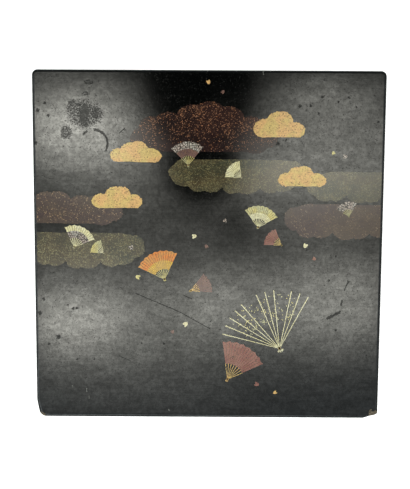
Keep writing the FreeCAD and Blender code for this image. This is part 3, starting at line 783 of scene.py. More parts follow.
AUBERGINE = colour(0.0045, 0.0016, 0.0022)
INSIDE = speckled("inside_lacquer", colour(0.012, 0.0035, 0.003), colour(0.42, 0.18, 0.06),
                  size=0.8, share=0.2, dust=0.16)
TRAY = speckled("tray_lacquer", colour(0.014, 0.004, 0.004), colour(0.42, 0.20, 0.07), size=0.55,
                share=0.24, dust=0.2)


def ground_coat():
    """The brown clay ground under the lacquer, as a fresh chip shows it."""
    g = Graph("ground_coat")
    place = g.place()
    grain = g.noise(g.stretch(place, (0.4, 1.6, 1.6)), 1.0, detail=4.0)
    base = g.blend(g.step(grain, 0.35, 0.6), BARE_DARK, BARE_PALE)
    return g.surface(Base_Color=base, Roughness=0.75, Normal=g.bump(grain, 0.12))


GROUND_COAT = ground_coat()
print("speckled lacquer and the brown ground coat")

# %% [markdown]
# ## The lid
#
# A real lid of this kind is five boards under one unbroken coat, so no joint shows. It is made
# here as one shell: a block is rounded at its corners and along its top edge, and its underside is
# inset and pushed up to form the hollow. The top lies a hair lower than the CAD board, which
# leaves room for the raised picture.
#
# Two corners have suffered. The near left one is worn away from the side, which is done by pushing
# its points in, the more the closer they are to the corner and to the top. The near right one has
# lost a splinter: its outline is pushed in along a broken line, and a small field of the top is
# let down to where the brown ground shows.

# %% Lid
RELIEF_ROOM = 0.15
LID_WALL = 4.0
CORNER_RADIUS = 4.0
EDGE_RADIUS = 2.4
# The worn corner: where it begins along the left side, how far it is pushed in, how deep it
# reaches down, and how wide the strip of the top is that gives way, with the width over which it
# eases.
WORN_FROM, WORN_INSET, WORN_DEPTH = -107.5, 3.4, 9.0
WORN_STRIP, WORN_EASE = 8.0, 4.0
# The lines cut through it: how far the first lies from the front, and their pitch.
WORN_FIRST, WORN_PITCH = 4.4, 1.6
# The outline of the splintered corner: how far along the front and how far in.
CHIP_LINE = [(109.6, 0.0), (112.2, 0.9), (114.8, 1.8), (117.4, 2.15), (120.0, 2.3)]
# It is pushed in fully down to one height and not at all below another, and its lower line is
# ragged.
CHIP_FLOOR, CHIP_FADE, CHIP_RAGGED = 42.4, 38.6, 2.2
# How far back the push reaches, the corner of the field that is let down, the width of the field's
# wall, how far the field is let down, and how far below the top the bare ground shows.
CHIP_REACH, CHIP_CORNER, CHIP_WALL = 5.0, (113.2, -114.4), 0.5
CHIP_DROP, CHIP_SHOWN = 0.8, 2.2
# The lip's edges turn by more than this, in radians, and the creases of a worn corner by less.
LIP_OVER, LIP_RADIUS = 1.0, 0.5

lid_low, lid_high = corners_of("lid_board")
LID_HALF_X, LID_HALF_Y = lid_high.x, lid_high.y
LID_FACE = lid_high.z - RELIEF_ROOM
LID_BOTTOM = corners_of("lid_side_front")[0].z


def cut_bands(bm, point, way, count=1, pitch=1.0):
    """Cut a few parallel lines through a mesh, so that its points can be moved there."""
    for index in range(count):
        spot = Vector(point) + Vector(way) * index * pitch
        bmesh.ops.bisect_plane(bm, geom=bm.verts[:] + bm.edges[:] + bm.faces[:], plane_co=spot,
                               plane_no=way)


def wear_corner(bm):
    """Push the near left corner in from the side."""
    strip_end = -LID_HALF_X + WORN_STRIP
    cut_bands(bm, (0, -LID_HALF_Y + WORN_FIRST, 0), (0, 1, 0), 6, WORN_PITCH)
    cut_bands(bm, (strip_end, 0, 0), (1, 0, 0))
    cut_bands(bm, (0, 0, LID_FACE - WORN_DEPTH), (0, 0, 1), 5, WORN_PITCH)
    for vert in bm.verts:
        share = clamp(1 - (LID_FACE - vert.co.z) / WORN_DEPTH) ** 1.5
        along = (WORN_FROM - vert.co.y) / (WORN_FROM + LID_HALF_Y)
        from_side = clamp((strip_end - vert.co.x) / WORN_EASE)
        if along > 0 and from_side > 0:
            rough_hand = 1 + 0.12 * noise.noise(vert.co * 0.5)
            vert.co.x += WORN_INSET * along ** 1.2 * from_side * share * rough_hand


def chip_corner(bm):
    """Push the near right corner in, and let a small field of its top down to the ground coat."""
    edge_x, edge_y = CHIP_CORNER
    for place, _ in CHIP_LINE[:-1]:
        cut_bands(bm, (place, 0, 0), (1, 0, 0))
    for height in (CHIP_FADE, CHIP_FLOOR, LID_FACE - EDGE_RADIUS - 0.3):
        cut_bands(bm, (0, 0, height), (0, 0, 1))
    cut_bands(bm, (edge_x, 0, 0), (1, 0, 0), 3, CHIP_WALL)
    cut_bands(bm, (0, edge_y, 0), (0, -1, 0), 4, CHIP_WALL)
    for vert in bm.verts:
        depth = 0.0
        for (left, start), (right, end) in zip(CHIP_LINE, CHIP_LINE[1:]):
            if left < vert.co.x <= right + NEAR:
                depth = start + (end - start) * (vert.co.x - left) / (right - left)
        share = clamp((vert.co.z - CHIP_FADE) / (CHIP_FLOOR - CHIP_FADE))
        reach = clamp((-LID_HALF_Y + CHIP_REACH - vert.co.y) / CHIP_REACH)
        vert.co.y += depth * share * reach
        inside = min(vert.co.x - edge_x, edge_y - vert.co.y)
        if inside > CHIP_WALL / 2 and vert.co.z > LID_FACE - EDGE_RADIUS:
            drop = CHIP_DROP * (1 + 0.5 * noise.noise(vert.co * 0.9))
            vert.co.z = min(vert.co.z, LID_FACE - drop)
        if vert.co.x > edge_x - 1 and vert.co.y < edge_y and abs(vert.co.z - CHIP_FADE) < NEAR:
            vert.co.z += CHIP_RAGGED * noise.noise(vert.co * 0.8)
    for face in bm.faces:
        middle = face.calc_center_median()
        front = face.normal.y < -0.2 and middle.z > CHIP_FADE + 0.5
        broken = front or middle.z > LID_FACE - CHIP_SHOWN
        if broken and min(middle.x - edge_x, edge_y - middle.y) > 0:
            face.material_index = 2


def build_lid():
    bm = block((-LID_HALF_X, -LID_HALF_Y, LID_BOTTOM), (LID_HALF_X, LID_HALF_Y, LID_FACE))
    bevel(bm, upright_edges(bm), CORNER_RADIUS, 8)
    bevel(bm, edges_above(bm.edges, LID_FACE), EDGE_RADIUS, 6)
    under = face_towards(bm, (0, 0, -1))[0]
    ceiling = sink(bm, under, LID_WALL, (0, 0, lid_low.z - LID_BOTTOM))
    ceiling.material_index = 1
    chip_corner(bm)
    wear_corner(bm)
    for face in bm.faces:
        middle = face.calc_center_median()
        inside = max(abs(middle.x), abs(middle.y)) < LID_HALF_X - LID_WALL + 0.1
        if inside and middle.z < lid_low.z + 0.1:
            face.material_index = 1
    lip = edges_below(bm.edges, LID_BOTTOM)
    bevel(bm, [edge for edge in lip if edge.calc_face_angle(0) > LIP_OVER], LIP_RADIUS, 2)
    finish_piece("lid_skin", bm, [LID_LACQUER, INSIDE, GROUND_COAT], "lid",
                 ["lid_board", *(f"lid_side_{side}" for side in SIDES)])


build_lid()

# %% [markdown]
# ## The lid's picture: its materials
#
# Maki-e pictures are built from few things: gold powder dusted into wet lacquer, flakes of gold,
# leaf cut from sheet, and shell inlaid in thin slips. The picture here is a generic one of old
# patterns, bands of cloud with folding fans strewn over them. Each kind of metal or shell gets one
# recipe. All of them are a little worn: where the leaf has rubbed through, the dark lacquer shows.

# %% Picture materials
PLUM_CLOUD = speckled("plum_cloud", AUBERGINE, colour(0.46, 0.24, 0.145), size=0.56, share=0.27,
                      dust=0.13, drift=((0, 94), (0, 60)), coat=0.6,
                      blush=colour(0.014, 0.005, 0.005))
PLUM_HAZE = speckled("plum_haze", colour(0.026, 0.010, 0.011), colour(0.30, 0.21, 0.13), size=0.7,
                     share=0.13, dust=0.22, coat=1.0, blush=colour(0.040, 0.022, 0.012))
DUST_CLOUD = speckled("gold_dust_cloud", colour(0.022, 0.024, 0.014), colour(0.17, 0.16, 0.085),
                      size=0.62, share=0.42, dust=0.5, lean=0.35, coat=0.95,
                      blush=colour(0.040, 0.028, 0.014))
DUST_RIM = speckled("pale_dust", colour(0.12, 0.13, 0.11), colour(0.30, 0.32, 0.25), size=0.6,
                    share=0.5, dust=0.6, lean=0.35, coat=0.6)


def leaf(name, first, second, worn=0.3, metal=0.3, rough=0.38, cracked=0.0, strewn=0.0):
    """Cut leaf of metal or shell: a slow drift between two colours, rubbed through in places.

    cracked lays it as broken slips with dark lacquer between them, as crushed shell is laid, and
    strewn is the share of fine dark specks in it.
    """
    g = Graph(name)
    place = g.place()
    drift = g.noise(place, 0.13, detail=3.0)
    grain = g.noise(place, 0.9, detail=5.0, roughness=0.9)
    rubbed = g.noise(place, 0.5, detail=5.0, roughness=0.75)
    base = g.blend(g.step(drift, 0.38, 0.62), first, second)
    base = g.blend(g.step(grain, 0.40, 0.66, 0.0, 0.6), base, colour(0.16, 0.09, 0.035))
    through = g.step(rubbed, 0.58, 0.66, 0.0, worn)
    if cracked:
        edges = g.named("ShaderNodeTexVoronoi", {"Vector": place, "Scale": 0.62},
                        feature="DISTANCE_TO_EDGE").outputs["Distance"]
        through = g.larger(through, g.step(edges, cracked, cracked * 0.5))
    if strewn:
        gap, chance = g.cells(place, 1.1)
        draw = g.node("ShaderNodeSeparateColor", chance).outputs[0]
        specks = g.times(g.math("LESS_THAN", draw, strewn), g.step(gap, 0.5, 0.3))
        through = g.larger(through, g.times(specks, 0.75))
    base = g.blend(through, base, colour(0.016, 0.010, 0.006))
    shine = g.times(g.minus(1.0, through), metal)
    return g.surface(Base_Color=base, Metallic=shine, Roughness=rough, Specular_IOR_Level=0.2,
                     Normal=g.bump(grain, 0.02), Coat_Weight=0.5, Coat_Roughness=0.12)


GOLD = leaf("gold_leaf", colour(0.52, 0.38, 0.12), colour(0.57, 0.34, 0.125), strewn=0.22)
PALE_GOLD = leaf("pale_gold_leaf", colour(0.52, 0.46, 0.17), colour(0.42, 0.42, 0.24), 0.2,
                 strewn=0.1)
YELLOW = leaf("yellow_leaf", colour(0.56, 0.35, 0.03), colour(0.50, 0.31, 0.07), 0.5)
ORANGE = leaf("orange_leaf", colour(0.56, 0.17, 0.022), colour(0.48, 0.22, 0.05), 0.5)
CORAL = leaf("coral_leaf", colour(0.19, 0.056, 0.048), colour(0.25, 0.105, 0.085), 0.3, 0.15,
             strewn=0.12)
ROSE = leaf("rose_leaf", colour(0.15, 0.078, 0.07), colour(0.11, 0.055, 0.055), 0.6, 0.2,
            strewn=0.2)
SHELL = leaf("shell", colour(0.76, 0.70, 0.38), colour(0.78, 0.74, 0.48), 0.25, 0.0, 0.25)
WHITE_SHELL = leaf("crushed_shell", colour(0.50, 0.47, 0.42), colour(0.44, 0.36, 0.32), 0.3, 0.0,
                   0.2, cracked=0.13)
print("twelve materials for the picture")

# %% [markdown]
# ## The lid's picture: the clouds
#
# A cloud band has long straight sides and lobed ends, the way old screens show mist that drifts
# across a scene. Its outline is traced point by point: a step with a turn is a lobe, a step
# without one is a straight run. The traced face is thickened into a slab that stands five
# hundredths of a millimetre out of the lacquer, about as much as a coat of gold powder does.

# %% Clouds
SUNK = LID_FACE - 0.05
CLOUD_TOP, WISP_TOP = LID_FACE + 0.05, LID_FACE + 0.09
# How far an outline sways, and the width of the pale border of a dust cloud and of a wisp.
RAG, DUST_BORDER, WISP_BORDER = 0.7, 1.0, 0.7
# The bands run off the lid: they are cut where its edge begins to round.
FLAT_HALF = LID_HALF_X - EDGE_RADIUS
# An outline sways with the noise at its own place along X, and at this far from it along Y.
SIDESTEP = Vector((31.7, 5.3, 2.1))


def picture_piece(name, bm, material):
    """Finish a piece of the picture, which moves with the lid."""
    finish_piece(name, bm, material, "lid")


def on_lid(name, bm, material, top=CLOUD_TOP, rag=0.0, rim=0.0):
    """Thicken a flat figure into a slab on the lid.

    rag roughens its outline, and rim gives it a border in the second of its materials.
    """
    if rim:
        border = bmesh.ops.inset_region(bm, faces=bm.faces[:], thickness=rim,
                                        use_even_offset=False)
        for face in border["faces"]:
            face.material_index = 1
    if rag:
        bmesh.ops.subdivide_edges(bm, edges=bm.edges[:], cuts=2)
        for vert in bm.verts:
            here = vert.co * 0.9
            sway = Vector((noise.noise(here), noise.noise(here + SIDESTEP), 0.0))
            vert.co += sway * rag
    for vert in bm.verts:
        vert.co.x = clamp(vert.co.x, -FLAT_HALF, FLAT_HALF)
    thicken(bm, SUNK, top)
    picture_piece(name, bm, material)


CLOUDS = {
    "cloud_top_plum": (PLUM_CLOUD, (-44, 65), [
        (26, 65, 0), (40, 68, 80), (46, 77, 120), (37, 85, 110), (24, 88, 70), (10, 95, 90),
        (-8, 96, 75), (-22, 90, 85), (-36, 88, 80), (-48, 80, 105), (-53, 71, 100),
        (-44, 65, 90)]),
    "cloud_top_dust": (DUST_CLOUD, (-14, 42), [
        (-3, 39, 90), (9, 41, 80), (20, 38, 95), (35, 41, 80), (47, 39, 95), (60, 44, 80),
        (64, 52, 115), (56, 59, 105), (34, 60, 0), (-14, 60, 0), (-24, 56, 70), (-26, 48, 110),
        (-14, 42, 85)]),
    "cloud_left_plum": (PLUM_HAZE, (-118.6, 16), [
        (-78, 16, 0), (-65, 18, 70), (-59, 26, 120), (-67, 33, 110), (-81, 34, 75),
        (-94, 33, 60), (-107, 37, 85), (-118.6, 34, 70), (-118.6, 16, 0)]),
    "cloud_left_dust": (DUST_CLOUD, (-118.6, -9), [
        (-110, -12, 80), (-98, -10, 80), (-87, -14, 95), (-74, -10, 85), (-62, -12, 90),
        (-50, -7, 75), (-44, 1, 115), (-52, 8, 105), (-70, 9.5, 20), (-118.6, 10, 0),
        (-118.6, -9, 0)]),
    "cloud_right_dust": (DUST_CLOUD, (72, 36), [
        (83, 33, 90), (94, 36, 80), (107, 32, 95), (118.4, 35, 70), (118.4, 52, 0),
        (92, 52, 0), (76, 50, 30), (67, 44, 105), (72, 36, 100)]),
    "cloud_right_plum": (PLUM_HAZE, (60, 12), [
        (72, 8, 95), (85, 11, 80), (99, 7, 95), (110, 10, 75), (118.4, 8, 60), (118.4, 30, 0),
        (74, 30, 0), (60, 28, 40), (52, 20, 105), (60, 12, 95)]),
}
WISPS = {
    "wisp_1": ((-62, 58), [(-38, 58, 0), (-32, 63, 115), (-41, 67, 70), (-52, 71, 100),
                           (-60, 67, 70), (-67, 63, 90), (-62, 58, 90)]),
    "wisp_2": ((36, 75), [(59, 75, 0), (65, 81, 110), (57, 85, 70), (48, 92, 100),
                          (39, 87, 80), (30, 81, 90), (36, 75, 90)]),
    "wisp_3": ((-75, 27), [(-51, 27, 0), (-45, 32, 110), (-53, 36, 70), (-62, 41, 100),
                           (-71, 36, 80), (-80, 32, 90), (-75, 27, 90)]),
    "wisp_4": ((53, 42), [(74, 42, 0), (80, 47, 110), (71, 51, 70), (61, 55, 100),
                          (54, 51, 80), (47, 47, 90), (53, 42, 90)]),
}
for name, (material, start, steps) in CLOUDS.items():
    dusted = material is DUST_CLOUD
    on_lid(name, traced(start, *steps), [DUST_CLOUD, DUST_RIM] if dusted else material, rag=RAG,
           rim=DUST_BORDER if dusted else 0.0)
for name, (start, steps) in WISPS.items():
    on_lid(name, traced(start, *steps), [GOLD, PALE_GOLD], WISP_TOP, rag=RAG, rim=WISP_BORDER)

# %% [markdown]
# ## The lid's picture: the fans
#
# A folding fan is a fan-shaped leaf, pleated between ribs that all meet at one rivet. The leaf
# starts as one straight edge and is spun about the rivet, a pleat for each step; every other outer
# point is then drawn in, which gives the zigzag rim. Ribs are thin bars turned about the same
# rivet. Large and small fans come from the same call, so the list below reads as the picture does.

# %% Fans
FAN_TOP = LID_FACE + 0.12
RIB_TOP = LID_FACE + 0.145
# The share of its radius to which every other outer point of a leaf is drawn in.
FOLD_IN = 0.965
# The share of its width that a rib keeps at the rivet, how far it reaches past the rivet, as a
# share of the fan's radius, and how far it runs in under the leaf.
RIB_ROOT, RIB_TAIL, RIB_LAP = 0.55, 0.07, 0.3
# A crease's width, and the share of the fan's radius that it reaches.
CREASE_WIDTH, CREASE_TO = 0.2, 0.96


def turned_about(bm, verts, pivot, degrees):
    bmesh.ops.rotate(bm, verts=verts, cent=(*pivot, 0.0),
                     matrix=Matrix.Rotation(math.radians(degrees), 3, "Z"))


def fan_leaf(pivot, start, spread, bands, pleats):
    """A pleated leaf. bands lists the radii between which it changes colour."""
    bm = chain([(pivot[0] + radius, pivot[1], 0.0) for radius in bands])
    turned_about(bm, bm.verts, pivot, start)
    bmesh.ops.spin(bm, geom=bm.verts[:] + bm.edges[:], cent=(*pivot, 0.0), axis=(0, 0, 1),
                   angle=math.radians(spread), steps=pleats, use_merge=False,
                   use_duplicate=False)
    centre = Vector((*pivot, 0.0))
    for vert in bm.verts:
        offset = vert.co - centre
        fold = round(math.degrees(math.atan2(offset.y, offset.x) - math.radians(start)) % 360
                     / (spread / pleats))
        if offset.length > bands[-1] - NEAR and fold % 2:
            vert.co = centre + offset * FOLD_IN
    for face in bm.faces:
        radius = (face.calc_center_median() - centre).length
        face.material_index = sum(radius > band for band in bands[1:-1])
    return bm


def fan_ribs(pivot, start, spread, inner, outer, width, count, skip=()):
    """Thin bars that meet at the rivet and stand apart at the rim."""
    bm = bmesh.new()
    for index in range(count):
        if index in skip:
            continue
        place = Matrix.Translation((pivot[0] + (inner + outer) / 2, pivot[1], 0.0))
        size = Matrix.Diagonal((outer - inner, width, 1.0, 1.0))
        bar = bmesh.ops.create_cube(bm, size=1.0, matrix=place @ size)["verts"]
        for vert in bar:
            at_rivet = vert.co.x < pivot[0] + (inner + outer) / 2
            vert.co.y = pivot[1] + (vert.co.y - pivot[1]) * (RIB_ROOT if at_rivet else 1.0)
            vert.co.z = SUNK if vert.co.z < 0 else RIB_TOP
        turned_about(bm, bar, pivot, start + spread * index / (count - 1))
    return bm


def fan(name, pivot, start, spread, bands, leaves, pleats, rib_material, rib_width=0.42,
        ribs_to=None, skip=()):
    """One open fan: its leaf in one or more colours, and its ribs below or across the leaf."""
    if leaves:
        bm = fan_leaf(pivot, start, spread, bands, pleats)
        thicken(bm, SUNK, FAN_TOP)
        picture_piece(f"{name}_leaf", bm, leaves)
        # The creases are drawn on the leaf as fine dark lines.
        creases = fan_ribs(pivot, start, spread, bands[0], bands[-1] * CREASE_TO, CREASE_WIDTH,
                           pleats + 1)
        picture_piece(f"{name}_creases", creases, BOX_LACQUER)
    ribs = fan_ribs(pivot, start, spread, -bands[-1] * RIB_TAIL, ribs_to or bands[0] + RIB_LAP,
                    rib_width, pleats // 2 + 1, skip)
    picture_piece(f"{name}_ribs", ribs, rib_material)


def gold_specks(name, pivot, start, spread, inner, outer, count, material):
    """Cut squares of gold strewn between the ribs of a bare fan."""
    bm = bmesh.new()
    for index in range(count):
        draw = noise.cell_vector(Vector((index * 1.7, 0.5, 0.5))) * 2 - Vector((1, 1, 1))
        radius = inner + (outer - inner) * (0.5 + 0.5 * draw.x)
        turn = start + spread * (0.5 + 0.5 * draw.y)
        size = 0.45 + 0.35 * abs(draw.z)
        place = Matrix.Translation((pivot[0] + radius, pivot[1], (SUNK + CLOUD_TOP) / 2))
        turn_self = Matrix.Rotation(draw.z * 3, 4, "Z")
        shape = Matrix.Diagonal((size, size, CLOUD_TOP - SUNK, 1.0))
        speck = bmesh.ops.create_cube(bm, size=1.0, matrix=place @ turn_self @ shape)["verts"]
        turned_about(bm, speck, pivot, turn)
    picture_piece(name, bm, material)


# The large bare fan, its gold dust and its coral leaf.
GREAT_FAN = (50.0, -70.0)
fan("great_fan", GREAT_FAN, 62, 104, (12, 26, 40), None, 24, SHELL, 0.62, ribs_to=41,
    skip=(3, 7))
gold_specks("great_fan_dust", GREAT_FAN, 66, 96, 20, 38, 150, PALE_GOLD)
fan("coral_fan", (14.0, -92.0), 24, 74, (11, 27), [CORAL], 14, GOLD)
# Smaller fans, strewn over the clouds and between them.
fan("orange_fan", (-30.0, -22.0), 64, 92, (7, 13, 20), [YELLOW, ORANGE], 16, PALE_GOLD)
fan("rose_fan", (-12.0, -30.0), -4, 58, (6, 15), [ROSE], 10, GOLD)
fan("left_fan", (-92.0, 0.0), 20, 96, (6, 11, 15), [WHITE_SHELL, SHELL], 14, SHELL)
fan("left_small_fan", (-72.0, -4.0), 100, 80, (4, 9), [PALE_GOLD], 10, SHELL, 0.34)
fan("top_fan", (-14.0, 56.0), 50, 86, (6, 11, 16), [ROSE, WHITE_SHELL], 14, PALE_GOLD)
fan("top_small_fan", (22.0, 48.0), 96, 84, (5, 11), [SHELL], 12, SHELL, 0.36)
fan("middle_fan", (34.0, 14.0), 28, 100, (6, 10, 15), [SHELL, PALE_GOLD], 16, SHELL)
fan("middle_coral_fan", (50.0, 2.0), 110, 70, (5, 12), [CORAL], 10, GOLD, 0.36)
fan("right_fan", (96.0, 22.0), 60, 90, (4.5, 10), [WHITE_SHELL], 12, PALE_GOLD, 0.34)

# %% [markdown]
# ## The lid's picture: rivets and petals
#
# A small rivet, a low cone with its tip cut off, holds each of the larger fans, and a few petals
# drift between them. A petal is a short traced outline with a notch in its tip, turned its own
# way.

# %% Rivets and petals
PETAL_PLACES = [
    ((-52, -2), 30, 2.4, WHITE_SHELL), ((-8, 8), 100, 2.2, SHELL), ((-2, 2), 210, 1.8, ROSE),
    ((12, 20), 160, 2.0, WHITE_SHELL), ((66, 0), 340, 2.2, SHELL), ((74, -8), 60, 1.8, CORAL),
    ((-50, -20), 250, 2.2, PALE_GOLD), ((-14, -52), 130, 2.4, SHELL), ((-24, -60), 20, 1.8, ROSE),
    ((94, 62), 80, 2.0, WHITE_SHELL), ((84, 66), 200, 1.7, PALE_GOLD), ((0, 110), 20, 2.0, GOLD),
    ((10, 106), 140, 1.7, ROSE), ((36, -96), 70, 2.2, CORAL), ((46, -102), 300, 1.8, GOLD),
]
RIVET_RADIUS = 0.9
RIVET_PLACES = [GREAT_FAN, (14, -92), (-30, -22), (-12, -30), (-92, 0), (-14, 56), (34, 14)]


def petal(index, place, turn, size, material):
    steps = [(x * size, y * size, bend) for x, y, bend in
             ((0.62, 0.9, 70), (0.5, 1.5, 60), (0.0, 1.2, 0), (-0.5, 1.5, 0), (-0.62, 0.9, 60),
              (0.0, 0.0, 70))]
    bm = traced((0.0, 0.0), *steps)
    turned_about(bm, bm.verts, (0, 0), turn)
    bmesh.ops.translate(bm, verts=bm.verts, vec=(*place, 0.0))
    on_lid(f"petal_{index}", bm, material, FAN_TOP)


def rivet(index, pivot):
    bm = bmesh.new()
    place = Matrix.Translation((*pivot, (RIB_TOP + SUNK) / 2))
    bmesh.ops.create_cone(bm, cap_ends=True, segments=16, radius1=RIVET_RADIUS,
                          radius2=RIVET_RADIUS * 0.7, depth=RIB_TOP - SUNK, matrix=place)
    picture_piece(f"rivet_{index}", bm, GOLD)


for index, (place, turn, size, material) in enumerate(PETAL_PLACES):
    petal(index, place, turn, size, material)
for index, pivot in enumerate(RIVET_PLACES):
    rivet(index, pivot)

# %% [markdown]
# ## The box under the lid
#
# The body is as plain as the lid: four mitred walls and a floor under one coat, black outside and
# speckled inside. One shell stands for all five boards. Its top rim is rounded a little more than
# its foot, because a lid has rubbed over it for many years.

# %% Box body
BODY_WALL = 4.5
BODY_CORNER = 3.0
HOLLOW_CORNER, RIM_RADIUS, FOOT_RADIUS = 0.8, 0.9, 0.4
WALLS = [f"box_side_{side}" for side in SIDES]


def build_body():
    floor_low, floor_high = corners_of("box_floor")
    _, wall_high = corners_of("box_side_front")
    half = corners_of("box_side_right")[1].x
    bm = block((-half, -half, floor_low.z), (half, half, wall_high.z))
    top = face_towards(bm, (0, 0, 1))[0]
    sink(bm, top, BODY_WALL, (0, 0, floor_high.z - wall_high.z))
    # The corners of the hollow lie within this reach of the middle, and the outer ones beyond it.
    reach = half - 1
    bevel(bm, upright_edges(bm, False, reach), BODY_CORNER, 6)
    bevel(bm, upright_edges(bm, True, reach), HOLLOW_CORNER)
    bevel(bm, edges_above(sharp_edges(bm), wall_high.z), RIM_RADIUS)
    bevel(bm, edges_below(sharp_edges(bm), floor_low.z), FOOT_RADIUS, 2)
    for face in bm.faces:
        middle = face.calc_center_median()
        inside = max(abs(middle.x), abs(middle.y)) < half - BODY_WALL + 0.1
        if inside and middle.z > floor_low.z + 1:
            face.material_index = 1
    finish_piece("body_skin", bm, [BOX_LACQUER, INSIDE], "box",
                 ["box_floor", *WALLS])


build_body()
for side in SIDES:
    softened(f"foot_{side}", 0.2, BOX_LACQUER, "box", 2)

# %% [markdown]
# ## The two trays
#
# Each tray is a shallow box with a scooped notch in its inner side, so that a finger can lift it
# out. The notch is not cut: the tray is first sliced across at close steps, and then the points of
# the rim are let down along a circle. That keeps the rounded rim unbroken through the notch. The
# rim has no flakes, because the ground shows there as a fine dark line.

# %% Trays
TRAY_WALL = 3.0
NOTCH_RADIUS = 14.0
NOTCH_DEPTH = 6.0
NOTCH_EASE = 2.5
NOTCH_STEPS, NOTCH_PITCH = 29, 1.0
TRAY_CORNER, TRAY_HOLLOW_CORNER = 0.8, 0.5
TRAY_PARTS = ("floor", "outer_side", "inner_side", "front_end", "rear_end")


def notch_drop(y):
    """How far the rim lies lower at a place along the tray, with softly rounded shoulders."""
    reach = math.sqrt(NOTCH_RADIUS ** 2 - (NOTCH_RADIUS - NOTCH_DEPTH) ** 2)
    if abs(y) > reach + NOTCH_EASE:
        return 0.0
    drop = math.sqrt(max(NOTCH_RADIUS ** 2 - y * y, 0.0)) - (NOTCH_RADIUS - NOTCH_DEPTH)
    shoulder = (reach + NOTCH_EASE - abs(y)) / (2 * NOTCH_EASE)
    if shoulder < 1:
        drop = max(drop, 0.0) * shoulder + 0.9 * shoulder ** 2 * (1 - shoulder)
    return max(drop, 0.0)


def build_tray(side):
    names = [f"{side}_tray_{part}" for part in TRAY_PARTS]
    boxes = [corners_of(name) for name in names]
    low = Vector([min(box[0][i] for box in boxes) for i in range(3)])
    high = Vector([max(box[1][i] for box in boxes) for i in range(3)])
    floor_top = boxes[0][1].z
    bm = block(low, high)
    sink(bm, face_towards(bm, (0, 0, 1))[0], TRAY_WALL, (0, 0, floor_top - high.z))
    bevel(bm, upright_edges(bm), TRAY_CORNER)
    bevel(bm, edges_above(sharp_edges(bm), high.z), TRAY_CORNER)
    bevel(bm, edges_below(sharp_edges(bm), floor_top), TRAY_HOLLOW_CORNER, 2)
    first = -NOTCH_PITCH * (NOTCH_STEPS - 1) / 2
    cut_bands(bm, (0, first, 0), (0, 1, 0), NOTCH_STEPS, NOTCH_PITCH)
    inner_x = low.x if abs(low.x) < abs(high.x) else high.x
    for vert in bm.verts:
        near_side = abs(vert.co.x - inner_x) < TRAY_WALL + 0.2
        if near_side and vert.co.z > high.z - 1.0:
            vert.co.z -= notch_drop(vert.co.y)
    for face in bm.faces:
        if face.normal.z > 0.8 and face.calc_center_median().z > floor_top + 2:
            face.material_index = 1
    finish_piece(f"{side}_tray", bm, [TRAY, BOX_LACQUER], f"{side}_tray",
                 names)


for side in ("left", "right"):
    build_tray(side)
for name in ("brush_rest_front", "brush_rest_rear"):
    softened(name, 0.3, BOX_LACQUER, "left_tray")
for name in ("tool_rest_front", "tool_rest_rear", "tray_divider"):
    softened(name, 0.4, BOX_LACQUER, "right_tray")
softened("insert_board", 0.7, INSIDE, "insert_board")

# %% [markdown]
# ## The inkstone
#
# Slate is dark, dense and matt. Ink is rubbed on the flat land and runs down into the well, so a
# used stone has a dried film of ink there: blacker than the slate and a little glossy, with rings
# where it dried. Both are one material, and the film is placed by how far back and how deep a
# point lies.

# %% Inkstone
STONE_TOP = corners_of("inkstone")[1].z


def slate():
    g = Graph("slate")
    place = g.place()
    across, away, up = g.parts(place)
    layers = g.noise(g.stretch(place, (0.5, 0.12, 2.0)), 0.5, detail=5.0)
    grain = g.noise(place, 3.0, detail=3.0)
    stone = g.blend(g.step(layers, 0.3, 0.7), colour(0.022, 0.026, 0.030),
                    colour(0.050, 0.055, 0.060))
    stone = g.blend(g.step(grain, 0.62, 0.72, 0.0, 0.4), stone, colour(0.11, 0.11, 0.11))
    edge = g.noise(place, 0.15, detail=4.0)
    wet = g.step(g.plus(away, g.times(edge, 24)), -4.0, 2.0)
    sunk = g.step(up, STONE_TOP - 0.8, STONE_TOP - 2.0)
    inner = g.step(g.math("ABSOLUTE", across), 33.0, 31.0)
    film = g.times(g.times(wet, sunk), inner)
    rings = g.math("PINGPONG", g.plus(g.times(away, 0.5), edge), 1.0)
    film = g.times(film, g.step(rings, 0.0, 0.25, 0.75, 1.0))
    base = g.blend(film, stone, colour(0.006, 0.006, 0.007))
    rough = g.mix(film, g.step(grain, 0.4, 0.7, 0.5, 0.62), 0.3)
    height = g.plus(g.times(layers, 0.7), g.times(grain, 0.3))
    return g.surface(Base_Color=base, Roughness=rough, Normal=g.bump(height, 0.05), IOR=1.5)


SLATE = slate()
softened("inkstone", 0.9, SLATE, "inkstone", 4)

# %% [markdown]
# ## Metals
#
# The dropper is cast copper with the brown skin that such metal takes over the years. It has
# rubbed through on the raised parts, and a little green sits in the hollows. The brush ferrules
# and the collars are satin brass with fine turning lines, and the tools are ground steel.

# %% Metals


def patinated_copper():
    g = Graph("patinated_copper")
    place = g.place()
    clouds = g.noise(place, 0.22, detail=6.0, roughness=0.65)
    grit = g.noise(place, 1.8, detail=3.0)
    height = g.node("ShaderNodeNewGeometry").outputs["Pointiness"]
    worn = g.larger(g.times(g.step(height, 0.505, 0.54), 0.8),
                    g.step(clouds, 0.58, 0.8, 0.0, 0.5))
    green = g.times(g.step(height, 0.47, 0.495, 1.0, 0.0), g.step(clouds, 0.4, 0.55))
    skin = g.blend(g.step(clouds, 0.3, 0.7), colour(0.15, 0.062, 0.036),
                   colour(0.30, 0.135, 0.075))
    skin = g.blend(g.times(green, 0.7), skin, colour(0.12, 0.20, 0.15))
    base = g.blend(worn, skin, colour(0.72, 0.40, 0.24))
    rough = g.mix(worn, g.step(grit, 0.3, 0.7, 0.27, 0.36), 0.18)
    rough = g.mix(green, rough, 0.6)
    return g.surface(Base_Color=base, Metallic=0.95, Roughness=rough,
                     Normal=g.bump(g.plus(clouds, g.times(grit, 0.5)), 0.04))


